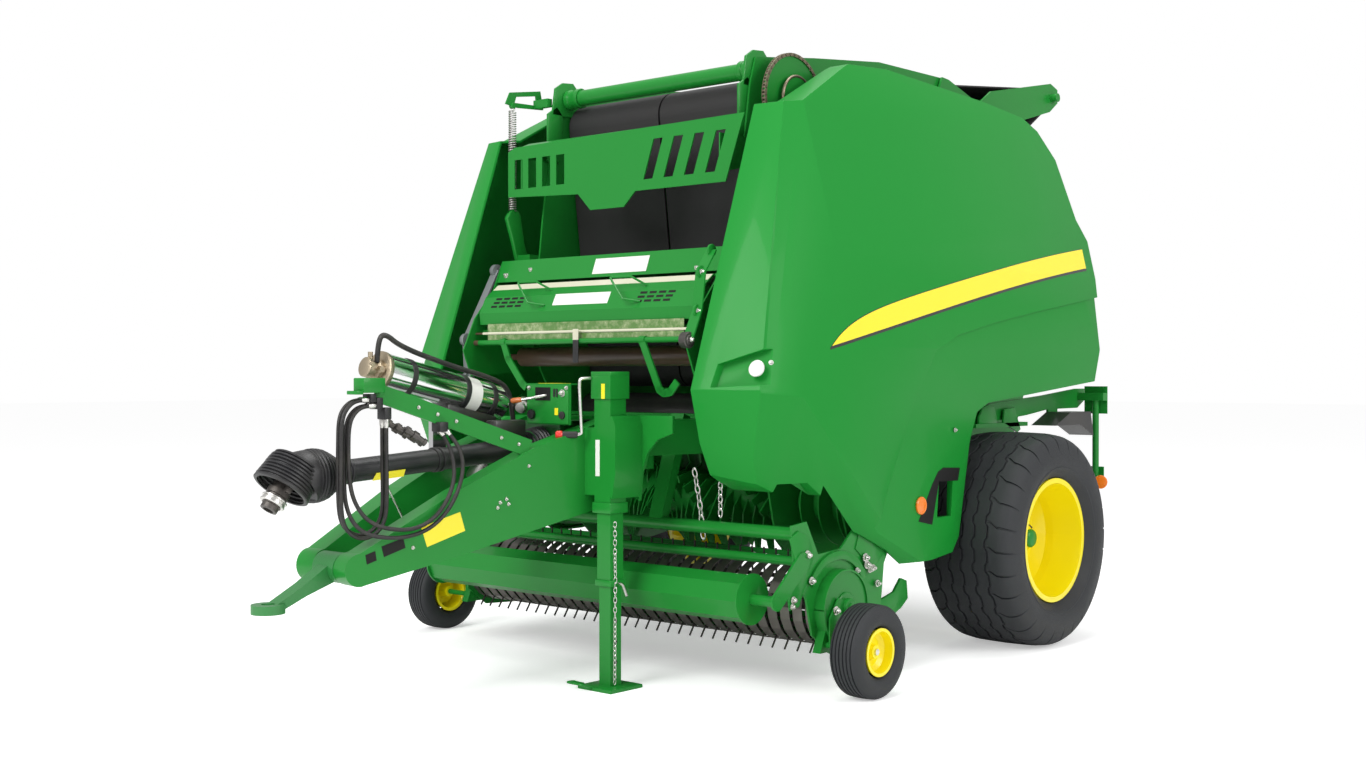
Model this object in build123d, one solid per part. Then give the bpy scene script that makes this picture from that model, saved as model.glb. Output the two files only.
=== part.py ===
from build123d import *
import os
from math import asin, atan2, cos, degrees, hypot, radians, sin

os.makedirs("parts", exist_ok=True)

# Round baler with a variable chamber, parked on its jack. Millimetres.
# While it is drawn, x is across (+x is the machine's left), y runs from the main axle to
# the rear (the drawbar points to -y) and z is up from the ground. The last lines move
# all pieces along y, so that the model's middle is at y = 0.

# Wheels
tyre_radius = 510.0
tyre_width = 494.0
tyre_wall = 26.0
rim_radius = 285.0
seat_radius = 271.0
rim_plate = 9.0
track_half = 1109.0
spindle_radius = 40.0
hub_radius = 82.0
gauge_radius = 190.0
gauge_width = 145.0
gauge_rim_radius = 92.0
gauge_track_half = 1314.0
gauge_y = -1551.0
gauge_axle = 12.5
axle_z = tyre_radius
axle_side = 120.0
pin_gap = 0.5
rest_gap = 0.3

# Chamber and gate
chamber_half = 605.0
wall = 10.0
wall_outer = chamber_half + wall
gate_pivot_y = 120.0
gate_pivot_z = 2740.0
gate_pin_radius = 35.0
gate_ear_gap = 7.0
gate_ear = 12.0
split_gap = 14.0
belt = 8.0
belt_width = 588.0
belt_gap = 12.0
roller_end = chamber_half - 5.0

# Gate cylinders
cylinder_x = 705.0
cylinder_foot = (-450.0, 1000.0)
cylinder_head = (430.0, 2000.0)
barrel_radius = 45.0
barrel_bore = 28.0
barrel_length = 1060.0
piston_rod_radius = 26.0
cylinder_pin = 25.0

# Pickup, rotor and guard
rotor_y = -1010.0
rotor_z = 720.0
rotor_radius = 258.0
rotor_shaft = 45.0
rotor_plate_x = 985.0
auger_radius = 186.0
pivot_boss = 62.0
reel_y = -1430.0
reel_z = 332.0
tine_radius = 222.0
tine_pitch = 66.0
tine_count = 32
tine_wire = 6.0
tine_bars = 5
band_radius = 168.0
band_plate = 3.0
cheek_in = 1062.0
cheek = 10.0
guard_y = -1680.0
guard_z = 540.0
windrow_y = -1850.0
windrow_z = 395.0
windrow_radius = 104.0
windrow_half = 950.0
windrow_shaft = 22.0
front_tube_y = -1700.0
front_tube_z = 652.0
front_tube_radius = 28.0

# Panels
panel_wall = 12.0
panel_x = 1140.0
panel_hinge_x = 795.0
panel_hinge_z = 2610.0
hinge_pin = 12.0

# Drawbar and stand
hitch_y = -3180.0
hitch_z = 572.0
eye_y = -3475.0
eye_z = 446.0
eye_radius = 62.0
eye_bore = 25.0
eye_height = 34.0
beam_width = 90.0
jack_x = 395.0
jack_y = -2090.0
jack_outer = 92.0
jack_mid = 76.0
jack_leg_side = 64.0
jack_fit = 0.4
foot_side = 190.0
foot_plate = 12.0

nodes = {}


def block(x0, x1, y0, y1, z0, z1):
    """A box between two corners, given in any order along x."""
    solid = Box(abs(x1 - x0), y1 - y0, z1 - z0)
    return Pos((x0 + x1) / 2, (y0 + y1) / 2, (z0 + z1) / 2) * solid


def slab(points, x0, x1):
    """A side outline of (y, z) points, as thick as x0 to x1."""
    outline = Polyline(*points, close=True)
    return extrude(Plane.YZ.offset(x0) * make_face(outline), amount=x1 - x0)


def front_slab(points, y0, y1):
    """A front outline of (x, z) points, as deep as y0 to y1."""
    plane = Plane(origin=(0, y0, 0), x_dir=(1, 0, 0), z_dir=(0, -1, 0))
    return extrude(plane * make_face(Polyline(*points, close=True)), amount=y0 - y1)


def rod(start, end, radius, inner=0.0):
    """A round bar or tube between two points."""
    a = Vector(start)
    b = Vector(end)
    length = (b - a).length
    align = (Align.CENTER, Align.CENTER, Align.MIN)
    solid = Cylinder(radius, length, align=align)
    if inner:
        solid -= Cylinder(inner, length, align=align)
    return Plane(origin=a, z_dir=b - a) * solid


def across(y, z, x0, x1, radius, inner=0.0):
    """A round bar or tube along x."""
    return rod((x0, y, z), (x1, y, z), radius, inner)


def beam(start, end, width, height):
    """A rectangular bar between two points, its width kept level."""
    a = Vector(*start)
    b = Vector(*end)
    way = (b - a).normalized()
    side = way.cross(Vector(0, 0, 1))
    if side.length < 0.01:
        side = Vector(1, 0, 0)
    plane = Plane(origin=a, x_dir=side, z_dir=way)
    align = (Align.CENTER, Align.CENTER, Align.MIN)
    return plane * Box(width, height, (b - a).length, align=align)


def spun(points, x0, y0, z0, side):
    """A ring or disc about an axle along x, from (offset outwards, radius) points."""
    outline = Polyline(*[(side * x, r) for x, r in points], close=True)
    return Pos(x0, y0, z0) * revolve(make_face(outline), Axis.X, 360)


def mirrored(solid):
    return mirror(solid, about=Plane.YZ)


def both(solid):
    return [solid, mirrored(solid)]


def joined(pieces):
    """One solid from pieces that overlap or touch."""
    whole = pieces[0]
    for piece in pieces[1:]:
        whole = whole + piece
    return whole


def keep(name, *pieces):
    nodes[name] = list(pieces)


def polar(y, z, radius, angle):
    """The side-view point at an angle in degrees, from +y towards +z."""
    return (y + radius * cos(radians(angle)), z + radius * sin(radians(angle)))


def lobe(y, z, radius, x0, x1):
    """A round end of a plate."""
    return across(y, z, x0, x1, radius)


def link(a, b, radius_a, radius_b, x0, x1):
    """A plate between two round ends, given as (y, z) points."""
    angle = degrees(atan2(b[1] - a[1], b[0] - a[0]))
    corners = [
        polar(*a, radius_a, angle + 90),
        polar(*b, radius_b, angle + 90),
        polar(*b, radius_b, angle - 90),
        polar(*a, radius_a, angle - 90),
    ]
    plate = slab(corners, x0, x1)
    return plate + lobe(*a, radius_a, x0, x1) + lobe(*b, radius_b, x0, x1)


# Wheels: a tyre is an open section, a rim a dished disc with its hub
def tyre_section(radius, half, seat, thickness, bead, flange):
    """(offset, radius) points of a tyre, out over the tread and back inside."""
    depth = radius - seat
    outside = [
        (bead, seat),
        (bead, flange + pin_gap),
        (half * 0.97, seat + depth * 0.36),
        (half, seat + depth * 0.50),
        (half * 0.98, seat + depth * 0.68),
        (half * 0.92, seat + depth * 0.86),
        (half * 0.80, seat + depth * 0.955),
        (half * 0.45, radius - depth * 0.008),
    ]
    inside = [
        (bead - thickness * 0.9, seat),
        (half * 0.97 - thickness, seat + depth * 0.36),
        (half * 0.92 - thickness, seat + depth * 0.82 - thickness * 0.3),
        (half * 0.60, radius - thickness),
    ]
    far_outside = [(-x, r) for x, r in reversed(outside)]
    far_inside = [(-x, r) for x, r in inside]
    return outside + [(0, radius)] + far_outside + far_inside + list(reversed(inside))


bead = tyre_width * 0.40
hub_in = -150.0
hub_out = 78.0
rim_section = [
    (bead + 12, rim_radius + 10),
    (bead + 12, rim_radius - 14),
    (bead - 40, seat_radius - rim_plate),
    (70, seat_radius - rim_plate - 18),
    (30, seat_radius - rim_plate - 22),
    (-28, seat_radius - 62),
    (-36, 150),
    (8, 128),
    (8, hub_radius - 6),
    (-2, hub_radius - 6),
    (-2, 122),
    (-47, 146),
    (-38, seat_radius - 50),
    (-60, seat_radius - rim_plate - 18),
    (-bead - 1, seat_radius - rim_plate),
    (-bead - 12, rim_radius - 14),
    (-bead - 12, rim_radius + 10),
    (-bead - 0.5, rim_radius + 10),
    (-bead - 0.5, seat_radius),
    (bead + 0.5, seat_radius),
    (bead + 0.5, rim_radius + 10),
]
hub_section = [
    (hub_in, spindle_radius + pin_gap),
    (hub_in, hub_radius - 14),
    (-30, hub_radius - 6),
    (-12, hub_radius + 30),
    (-2, hub_radius + 30),
    (0, hub_radius + 6),
    (20, hub_radius - 12),
    (60, hub_radius - 22),
    (hub_out, hub_radius - 40),
    (hub_out, 0),
    (44, 0),
    (44, spindle_radius + pin_gap),
]
for side, name in ((1, "left"), (-1, "right")):
    section = tyre_section(
        tyre_radius, tyre_width / 2, seat_radius, tyre_wall, bead, rim_radius + 10)
    place = (side * track_half, 0, axle_z)
    keep("tyre_" + name, spun(section, *place, side))
    keep("rim_" + name, spun(rim_section, *place, side) + spun(hub_section, *place, side))

gauge_bead = gauge_width * 0.38
gauge_seat = gauge_rim_radius - 6
gauge_rim_section = [
    (gauge_bead + 6, gauge_rim_radius + 5),
    (gauge_bead + 6, gauge_rim_radius - 8),
    (gauge_bead - 18, gauge_seat - 5),
    (24, gauge_seat - 6),
    (10, 62),
    (10, 34),
    (38, 26),
    (38, gauge_axle + pin_gap),
    (-52, gauge_axle + pin_gap),
    (-52, 26),
    (4, 34),
    (4, 64),
    (18, gauge_seat - 12),
    (18, gauge_seat - 5),
    (-gauge_bead, gauge_seat - 5),
    (-gauge_bead - 6, gauge_rim_radius - 8),
    (-gauge_bead - 6, gauge_rim_radius + 5),
    (-gauge_bead - 0.5, gauge_rim_radius + 5),
    (-gauge_bead - 0.5, gauge_seat),
    (gauge_bead + 0.5, gauge_seat),
    (gauge_bead + 0.5, gauge_rim_radius + 5),
]
for side, name in ((1, "left"), (-1, "right")):
    section = tyre_section(
        gauge_radius, gauge_width / 2, gauge_seat, 12, gauge_bead, gauge_rim_radius + 5)
    place = (side * gauge_track_half, gauge_y, gauge_radius)
    keep("gauge_tyre_" + name, spun(section, *place, side))
    keep("gauge_rim_" + name, spun(gauge_rim_section, *place, side))

# Chamber side walls of the front frame, with the ear that carries the gate
split_top = (25.0, 2640.0)
split_low = (40.0, 880.0)
ear_radius = 82.0
front_wall_points = [
    (-1250, 560),
    (-1130, 450),
    (-760, 450),
    (-65, 560),
    (split_low[0] - split_gap / 2, split_low[1]),
    (split_top[0] - split_gap / 2, split_top[1]),
    polar(gate_pivot_y, gate_pivot_z, ear_radius, 240),
    polar(gate_pivot_y, gate_pivot_z, ear_radius, 300),
    polar(gate_pivot_y, gate_pivot_z, ear_radius, 0),
    polar(gate_pivot_y, gate_pivot_z, ear_radius, 60),
    (-447, 2808),
    (-973, 2748),
    (-1400, 2690),
    (-1440, 2560),
    (-1520, 2050),
    (-1560, 1700),
    (-1540, 1330),
    (-1450, 1180),
    (-1440, 960),
    (-1330, 880),
]
front_wall = slab(front_wall_points, chamber_half, wall_outer)
front_wall -= across(
    gate_pivot_y, gate_pivot_z, chamber_half, wall_outer, gate_pin_radius + pin_gap)
front_wall -= across(rotor_y, rotor_z, chamber_half, wall_outer, rotor_shaft + pin_gap)
front_wall += across(*cylinder_foot, wall_outer - 2, cylinder_x + 40, cylinder_pin)
for y in (-700, 0):
    barrel = rod((panel_hinge_x, y - 30, panel_hinge_z), (panel_hinge_x, y + 30, panel_hinge_z), 18)
    bar = block(wall_outer - 2, panel_hinge_x, y - 20, y + 20, panel_hinge_z - 20, panel_hinge_z - 2)
    pin_bore = rod((panel_hinge_x, y - 32, panel_hinge_z), (panel_hinge_x, y + 32, panel_hinge_z),
                   hinge_pin + pin_gap)
    front_wall += bar + barrel - pin_bore
keep("side_wall_left", front_wall)
keep("side_wall_right", mirrored(front_wall))

# Main frame: axle, cross beam, splayed arms to the drawbar, rotor plates, carriers
axle_half = track_half + hub_in - 22
beam_back = -1320.0
beam_front = -1400.0
beam_low = 960.0
beam_top = 1120.0
box_front = -1960.0
box_back = -1850.0
box_half = 420.0
box_low = 900.0
box_top = 1110.0
carrier_in = 970.0
carrier_points = [
    (-240, 1052),
    (330, 1092),
    (560, 1118),
    (880, 1120),
    (960, 1160),
    (960, 1222),
    (860, 1222),
    (500, 1190),
    (-110, 1150),
    (-240, 1140),
]
rotor_plate_points = [
    (-1420, 900),
    (-1420, 1140),
    (-1300, 1200),
    (-760, 1120),
    (-700, 900),
    (-700, 560),
    (-800, 500),
    (-1060, 520),
    (-1240, 600),
    (-1300, 760),
]
side_frame = [
    beam((wall_outer + 40, -740, 600), (wall_outer + 40, 30, 510), 80, 110),
    block(wall_outer, rotor_plate_x + 4, beam_front, beam_back, beam_low + 60, beam_top),
    block(wall_outer, rotor_plate_x + 4, -800, -730, 540, 620),
    block(wall_outer, carrier_in + 4, -200, -110, 1056, 1140),
    slab(carrier_points, carrier_in, carrier_in + 12),
    block(carrier_in, carrier_in + 12, 560, 660, 1050, 1130),
    slab(rotor_plate_points, rotor_plate_x, rotor_plate_x + 10)
    - across(rotor_y, rotor_z, rotor_plate_x, rotor_plate_x + 10, rotor_shaft + pin_gap),
    across(rotor_y, rotor_z, rotor_plate_x + 10, cheek_in + cheek + 2, pivot_boss),
    beam((box_half - 60, box_back - 50, 1030), (chamber_half - 84, beam_front + 30, 1035), 110, 150),
]
frame_core = [
    block(-axle_half, axle_half, -axle_side / 2, axle_side / 2, axle_z - 60, axle_z + 60),
    across(0, axle_z, -track_half - 38, track_half + 38, spindle_radius),
    block(-chamber_half, chamber_half, beam_front, beam_back, beam_low, beam_top),
    block(-box_half, box_half, box_front, box_back, box_low, box_top),
]
frame_sides = []
for piece in side_frame:
    frame_sides += both(piece)
keep("main_frame", joined(frame_core + frame_sides))

# Lamp brackets with reflectors behind the tyres, and the wheel chocks on the carriers
lamp_y = 905.0
lamp_x = 1075.0
lamp_brackets = joined([
    block(carrier_in + 12, lamp_x + 55, lamp_y - 25, lamp_y + 25, 1160, 1200),
    block(1000, lamp_x + 55, lamp_y + 20, lamp_y + 26, 1090, 1235),
    rod((lamp_x, lamp_y, 1190), (lamp_x, lamp_y, 760), 17),
    block(lamp_x - 40, lamp_x + 40, lamp_y + 12, lamp_y + 18, 735, 810),
])
keep("lamp_brackets", *both(lamp_brackets))
reflector = rod((lamp_x, lamp_y + 18, 772), (lamp_x, lamp_y + 28, 772), 34)
keep("rear_reflectors", *both(reflector))
chock = slab(
    [(380, 1040), (640, 1040), (790, 980), (760, 1105), (540, 1105)],
    carrier_in + 12 + rest_gap, carrier_in + 150)
keep("wheel_chocks", *both(chock))

def roller(y, z, radius):
    """A drum across the chamber with its shaft ends close to both walls."""
    shaft = across(y, z, -chamber_half + rest_gap, chamber_half - rest_gap, 22)
    return across(y, z, -roller_end, roller_end, radius) + shaft


# Gate: walls with their ears, cross members, rollers, belts and tension arms
gate_wall_points = [
    (split_low[0] + split_gap / 2, split_low[1]),
    (240, 700),
    (520, 690),
    (800, 860),
    (975, 1200),
    (1010, 1600),
    (930, 2060),
    (720, 2450),
    (520, 2610),
    (230, 2640),
    (split_top[0] + split_gap / 2, split_top[1] - 6),
]
ear_in = wall_outer + gate_ear_gap
ear_out = ear_in + gate_ear
gate_ear_points = [
    polar(gate_pivot_y, gate_pivot_z, 75, 200),
    polar(gate_pivot_y, gate_pivot_z, 75, 110),
    polar(gate_pivot_y, gate_pivot_z, 75, 60),
    (520, 2700),
    (700, 2520),
    (420, 2250),
    (150, 2300),
]
head_y, head_z = cylinder_head
gate_wall = joined([
    slab(gate_wall_points, chamber_half, wall_outer),
    slab(gate_ear_points, ear_in, ear_out),
    slab([(150, 2320), (420, 2270), (690, 2500), (510, 2600), (240, 2625)], wall_outer - 1, ear_in + 1),
    across(gate_pivot_y, gate_pivot_z, chamber_half - 3, ear_out, gate_pin_radius),
    across(head_y, head_z, wall_outer - 1, cylinder_x - 30, 48),
])
keep("gate_wall_left", gate_wall)
keep("gate_wall_right", mirrored(gate_wall))

arm_tip = (1225.0, 2850.0)
arm_radius = 52.0
arm_in = ear_out + 4.0
cross_tubes = [(330, 740, 42), (930, 1180, 45), (880, 2080, 40), (420, 2590, 40)]
gate_frame = [across(y, z, -chamber_half, chamber_half, r) for y, z, r in cross_tubes]
keep("gate_frame", *gate_frame)

gate_rollers = [
    (205.0, 870.0, 85.0),
    (860.0, 1320.0, 70.0),
    (690.0, 2360.0, 70.0),
]
gate_roller_solids = [roller(y, z, r) for y, z, r in gate_rollers]
keep("gate_rollers", *gate_roller_solids)

arm = joined([
    slab([(330, 2655), (430, 2560), (1200, 2770), (1290, 2830), (1290, 2905),
          (1210, 2930), (560, 2800)], ear_out, ear_out + 12),
    across(arm_tip[0], arm_tip[1], roller_end - 6, ear_out + 50, 24),
])
arm_roller = across(arm_tip[0], arm_tip[1], -roller_end, roller_end, arm_radius)
keep("tension_arms", joined([arm, mirrored(arm), arm_roller]))

# Belts: strips that run straight between rollers and wrap them
def tangent(a, b):
    """The way, in degrees, from circle a to b of (y, z, signed radius)."""
    gap = hypot(b[0] - a[0], b[1] - a[1])
    line = atan2(b[1] - a[1], b[0] - a[0])
    return degrees(line - asin((b[2] - a[2]) / gap))


def touch(circle, way):
    """Where a line of that way touches a circle; positive radii turn left."""
    return polar(circle[0], circle[1], circle[2], way - 90)


def belt_strips(stops):
    """Both belts past (y, z, radius, turn) stops; a point has radius 0."""
    circles = []
    for y, z, radius, turn in stops:
        reach_out = radius + belt / 2 + rest_gap if radius else 0
        circles.append((y, z, turn * reach_out))
    ways = [tangent(a, b) for a, b in zip(circles, circles[1:])]
    edges = []
    last = circles[0][:2]
    for circle, way_in, way_out in zip(circles[1:-1], ways, ways[1:]):
        turn = 1 if circle[2] > 0 else -1
        sweep = ((way_out - way_in) * turn) % 360 * turn
        arc = [touch(circle, way_in + sweep * part) for part in (0, 0.5, 1)]
        edges.append(Line(last, arc[0]))
        edges.append(ThreePointArc(*arc))
        last = arc[2]
    edges.append(Line(last, circles[-1][:2]))
    face = Plane.YZ * trace(Wire(edges), belt)
    strips = []
    for x0 in (belt_gap / 2, -belt_gap / 2 - belt_width):
        strips.append(Pos(x0, 0, 0) * extrude(face, amount=belt_width))
    return strips


top_roller = (-1240.0, 2510.0, 105.0)
low_roller = (-1120.0, 1330.0, 80.0)
starter_roller = (-1180.0, 1115.0, 95.0)
floor_roller = (-555.0, 570.0, 95.0)
idler = (-260.0, 2420.0, 60.0)
front_rollers = []
for y, z, r in (top_roller, low_roller, starter_roller, floor_roller, idler):
    front_rollers.append(roller(y, z, r))
keep("front_rollers", *front_rollers)

keep("front_belts", *belt_strips([
    (50, 2755, 0, 0),
    (*top_roller, 1),
    (*low_roller, 1),
    (-330, 2330, 0, 0),
]))
lower_gate, rear_gate, upper_gate = gate_rollers
keep("gate_belts", *belt_strips([
    (215, 2790, 0, 0),
    (*arm_tip, arm_radius, -1),
    (*upper_gate, 1),
    (*rear_gate, -1),
    (*lower_gate, -1),
    (150, 2250, 0, 0),
]))

# Gate cylinders: a barrel on the wall's pin and a rod whose eye sits beside the gate's boss
foot_y, foot_z = cylinder_foot
head_y, head_z = cylinder_head
stroke_y = head_y - foot_y
stroke_z = head_z - foot_z
reach = hypot(stroke_y, stroke_z)
way_y, way_z = stroke_y / reach, stroke_z / reach


def along(distance, x=cylinder_x):
    """A point on the cylinder's axis, from its foot pin."""
    return (x, foot_y + way_y * distance, foot_z + way_z * distance)


barrel = rod(along(60), along(barrel_length), barrel_radius)
barrel -= rod(along(85), along(barrel_length), barrel_bore)
eye_pad = rod((cylinder_x - 22, foot_y, foot_z), (cylinder_x + 22, foot_y, foot_z), 48)
barrel += eye_pad
barrel += beam(along(0), along(70), 44, 70)
barrel -= across(foot_y, foot_z, cylinder_x - 30, cylinder_x + 30, cylinder_pin + pin_gap)
keep("gate_barrel_left", barrel)
keep("gate_barrel_right", mirrored(barrel))
piston = rod(along(95), along(reach - 30), piston_rod_radius)
rod_eye = across(head_y, head_z, cylinder_x - 22, cylinder_x + 22, 42)
rod_pin = across(head_y, head_z, cylinder_x - 30 + rest_gap, cylinder_x + 32, 24)
keep("gate_rod_left", joined([piston, rod_eye, rod_pin]))
keep("gate_rod_right", mirrored(joined([piston, rod_eye, rod_pin])))

# Front: top tube, slotted guard plate, spring and lever
tube_y, tube_z, tube_radius = -1357.0, 2643.0, 38.0
keep("top_tube", across(tube_y, tube_z, -chamber_half, chamber_half, tube_radius))

plate_y = -1650.0
guard_plate = front_slab(
    [(-705, 2150), (-705, 2365), (-660, 2385), (757, 2400), (655, 2118), (130, 2118),
     (60, 2052), (-150, 2052), (-230, 2130)],
    plate_y - 6, plate_y)
slot_table = [
    # left edge x, lean of the top, low z, high z
    (-660, 0, 2185, 2325),
    (-565, 0, 2185, 2325),
    (-470, 0, 2185, 2325),
    (-375, 0, 2185, 2325),
    (180, 62, 2165, 2340),
    (300, 62, 2165, 2340),
    (420, 62, 2165, 2340),
    (540, 62, 2165, 2340),
]
slot_width = 55.0
for x, lean, low, high in slot_table:
    guard_plate -= front_slab(
        [(x, low), (x + lean, high), (x + lean + slot_width, high), (x + slot_width, low)],
        plate_y - 8, plate_y + 2)
top_lip = slab([(plate_y, 2372), (plate_y, 2380), (plate_y + 80, 2412), (plate_y + 80, 2404)], -650, 650)
guard_arm = slab([(plate_y - 1, 2160), (plate_y - 1, 2330), (-1470, 2330), (-1480, 2200)], wall_outer, wall_outer + 6)
keep("front_guard", joined([guard_plate, top_lip, guard_arm, mirrored(guard_arm)]))

spring_x = -712.0
spring_y = -1622.0
spring_parts = joined([
    slab([(-1650, 2600), (-1650, 2650), (-1470, 2670), (-1450, 2590), (-1600, 2590)], spring_x - 4, spring_x + 4),
    block(spring_x - 4, -wall_outer, -1480, -1450, 2600, 2640),
])
spring_coil = rod((spring_x, spring_y, 2056), (spring_x, spring_y, 2594), 17)
lever = slab([(-1660, 2062), (-1600, 2062), (-1560, 1843), (-1610, 1843), (-1690, 1960)], spring_x - 6, spring_x + 6)
lever_tie = block(spring_x, -wall_outer, -1600, -1540, 1843, 1875)
keep("belt_spring", spring_parts + spring_coil + lever + lever_tie)

# Net box with its side plates, lid, rollers and rods
net_half = 690.0
net_plate = 8.0
net_side = slab(
    [(-1568, 1840), (-1700, 1840), (-1762, 1700), (-1880, 1560), (-1950, 1410),
     (-1900, 1290), (-1620, 1310), (-1548, 1400)],
    net_half, net_half + net_plate)
net_pieces = both(net_side) + [
    block(-net_half, net_half, -1575, -1567, 1500, 1840),
    block(-net_half, net_half, -1700, -1575, 1832, 1840),
    slab([(-1700, 1840), (-1700, 1832), (-1733, 1736), (-1741, 1736)], -net_half, net_half),
    block(-net_half, net_half, -1830, -1575, 1500, 1508),
    block(wall_outer, net_half, -1560, -1500, 1600, 1680),
    block(-wall_outer, -net_half, -1560, -1500, 1600, 1680),
]
net_side_tie = slab([(-1575, 1400), (-1575, 1840), (-1545, 1840), (-1545, 1400)], wall_outer, net_half + 2)
keep("net_box", joined(net_pieces + both(net_side_tie)))

lid_hinge = (-1741.0, 1716.0)
lid_half = 672.0
lid_points = [
    (-1741, 1722),
    (-1752, 1722),
    (-1830, 1660),
    (-1868, 1585),
    (-1862, 1532),
    (-1854, 1532),
    (-1860, 1584),
    (-1824, 1654),
    (-1750, 1714),
    (-1741, 1710),
]
net_lid = slab(lid_points, -lid_half, lid_half)
lid_pin = across(*lid_hinge, -net_half + rest_gap, net_half - rest_gap, 7)
keep("net_lid", joined([net_lid, lid_pin]))

net_roller_axis = (-1650.0, 1382.0)
net_rollers = joined([
    across(*net_roller_axis, -chamber_half, chamber_half, 45),
    across(*net_roller_axis, -net_half, net_half, 15),
])
rod_low = across(-1878, 1447, -net_half, net_half, 12)
rod_thin = across(-1872, 1490, -net_half, net_half, 5)
keep("net_rollers", net_rollers, rod_low, rod_thin)

# Drive on the left wall: sprockets and their chains
chain_x = 690.0
chain_width = 16.0
chain_height = 20.0
big_sprocket = (top_roller[0], top_roller[1], 200.0)
small_sprocket = (starter_roller[0], starter_roller[1], 90.0)
sprockets = []
for y, z, r in (big_sprocket, small_sprocket):
    disc = across(y, z, chain_x, chain_x + 8, r - chain_height / 2 - rest_gap)
    shaft = across(y, z, wall_outer, chain_x + 14, 28)
    sprockets.append(disc + shaft)
keep("drive_sprockets", *sprockets)


def chain_loop(a, b, x0, x1, thickness):
    """A chain round two sprockets of (y, z, radius)."""
    outer = link(a[:2], b[:2], a[2] + thickness / 2, b[2] + thickness / 2, x0, x1)
    inner = link(a[:2], b[:2], a[2] - thickness / 2, b[2] - thickness / 2, x0, x1)
    return outer - inner


chain_in = chain_x + 4 - chain_width / 2
keep("drive_chain", chain_loop(
    big_sprocket, small_sprocket, chain_in, chain_in + chain_width, chain_height))

# Drawbar: two deep beams that meet at the hitch, with a bed plate between them
beam_points = [
    (0, -62),
    (400, 12),
    (1180, 176),
    (1330, 300),
    (1330, 560),
    (1180, 540),
    (800, 430),
    (420, 270),
    (0, 62),
]
bed_z = 892.0
hitch_in = 72.0
hitch_half = hitch_in + beam_width / 2
rear_half = jack_x - 125
spread = degrees(atan2(rear_half - hitch_half, box_front - hitch_y))
draw_parts = []
for side in (1, -1):
    way = Vector(side * sin(radians(spread)), cos(radians(spread)), 0)
    plane = Plane(origin=(side * hitch_half, hitch_y, hitch_z), x_dir=way,
                  z_dir=way.cross(Vector(0, 0, 1)))
    face = make_face(Polyline(*beam_points, close=True)) + Circle(62)
    shape = extrude(plane * face, amount=beam_width / 2, both=True)
    draw_parts.append(shape)
draw_parts.append(block(-250, 250, box_front - 160, box_front, bed_z - 12, bed_z))
behind_box = block(-600, 600, box_front, box_front + 300, 700, 1300)
drawbar = joined(draw_parts) - behind_box
keep("drawbar", drawbar)

# Tow eye: a forged shank with its ring, on a cross tube between the beams
eye_tube_radius = 58.0
eye_tube_half = hitch_in - eye_tube_radius * sin(radians(spread)) - rest_gap
eye_parts = [
    across(hitch_y, hitch_z, -eye_tube_half, eye_tube_half, eye_tube_radius),
    Pos(0, eye_y, eye_z) * Cylinder(eye_radius, eye_height),
    slab([(hitch_y - 20, hitch_z - 50), (hitch_y - 150, 480), (eye_y + 20, eye_z - 17),
          (eye_y + 20, eye_z + 17), (hitch_y - 160, 522), (hitch_y - 10, hitch_z + 40)], -32, 32),
]
tow_eye = joined(eye_parts) - Pos(0, eye_y, eye_z) * Cylinder(eye_bore, eye_height + 2)
keep("tow_eye", tow_eye)

# Gearbox, drive shaft and its cones
gear_z = 1000.0
gearbox = joined([
    block(-120, 120, box_front - 150, box_front, bed_z, 1100),
    across(box_front - 80, 1010, -150, 150, 70),
    rod((0, box_front - 150, gear_z), (0, box_front - 230, gear_z), 60),
])
shaft_back = (0, -2247.4, 985.0)
shaft_front = (0, -3230.0, 925.0)
shaft_way = (Vector(*shaft_front) - Vector(*shaft_back)).normalized()
gearbox += rod(Vector(*shaft_back) - shaft_way * 70, Vector(*shaft_back) - shaft_way * rest_gap, 20)
keep("gearbox", gearbox)
keep("drive_shaft", rod(shaft_front, shaft_back, 45))
cone_rear = rod((0, box_front - 150.4, gear_z), (0, -2240, gear_z), 82, 61)
boot_start = Vector(*shaft_front) - shaft_way * 80
boot_end = Vector(*shaft_front) + shaft_way * 100
boot = rod(boot_start, boot_end, 92, 45.3)
cone_front = Plane(origin=(0, -3312, 915), z_dir=(0, -0.75, -0.66)) * Cone(
    80, 105, 150, align=(Align.CENTER, Align.CENTER, Align.MIN))
keep("shaft_cones", cone_rear, boot, cone_front)

# Hose bracket, oil reservoir and valve box
bracket_foot = (238.0, -2400.0, 1000.0)
bracket_tip = (130.0, -3090.0, 1235.0)
keep("hose_bracket", beam(bracket_foot, bracket_tip, 12, 70) - drawbar)
reservoir_back = (-120.0, -2254.0, 1175.0)
reservoir_front = (-120.0, -2865.0, 1312.0)
tank_post = block(-190, -162, -2570, -2500, 880, 1200) - drawbar
keep("oil_reservoir", rod(reservoir_back, reservoir_front, 76) + tank_post)
valve_box = joined([
    block(0, 262, -2190, -2184, 1090, 1262),
    block(0, 262, -2184, -2120, 1256, 1262),
    block(90, 215, -2188, box_back - 30, box_top, box_top + 14),
])
keep("valve_box", valve_box)

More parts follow.
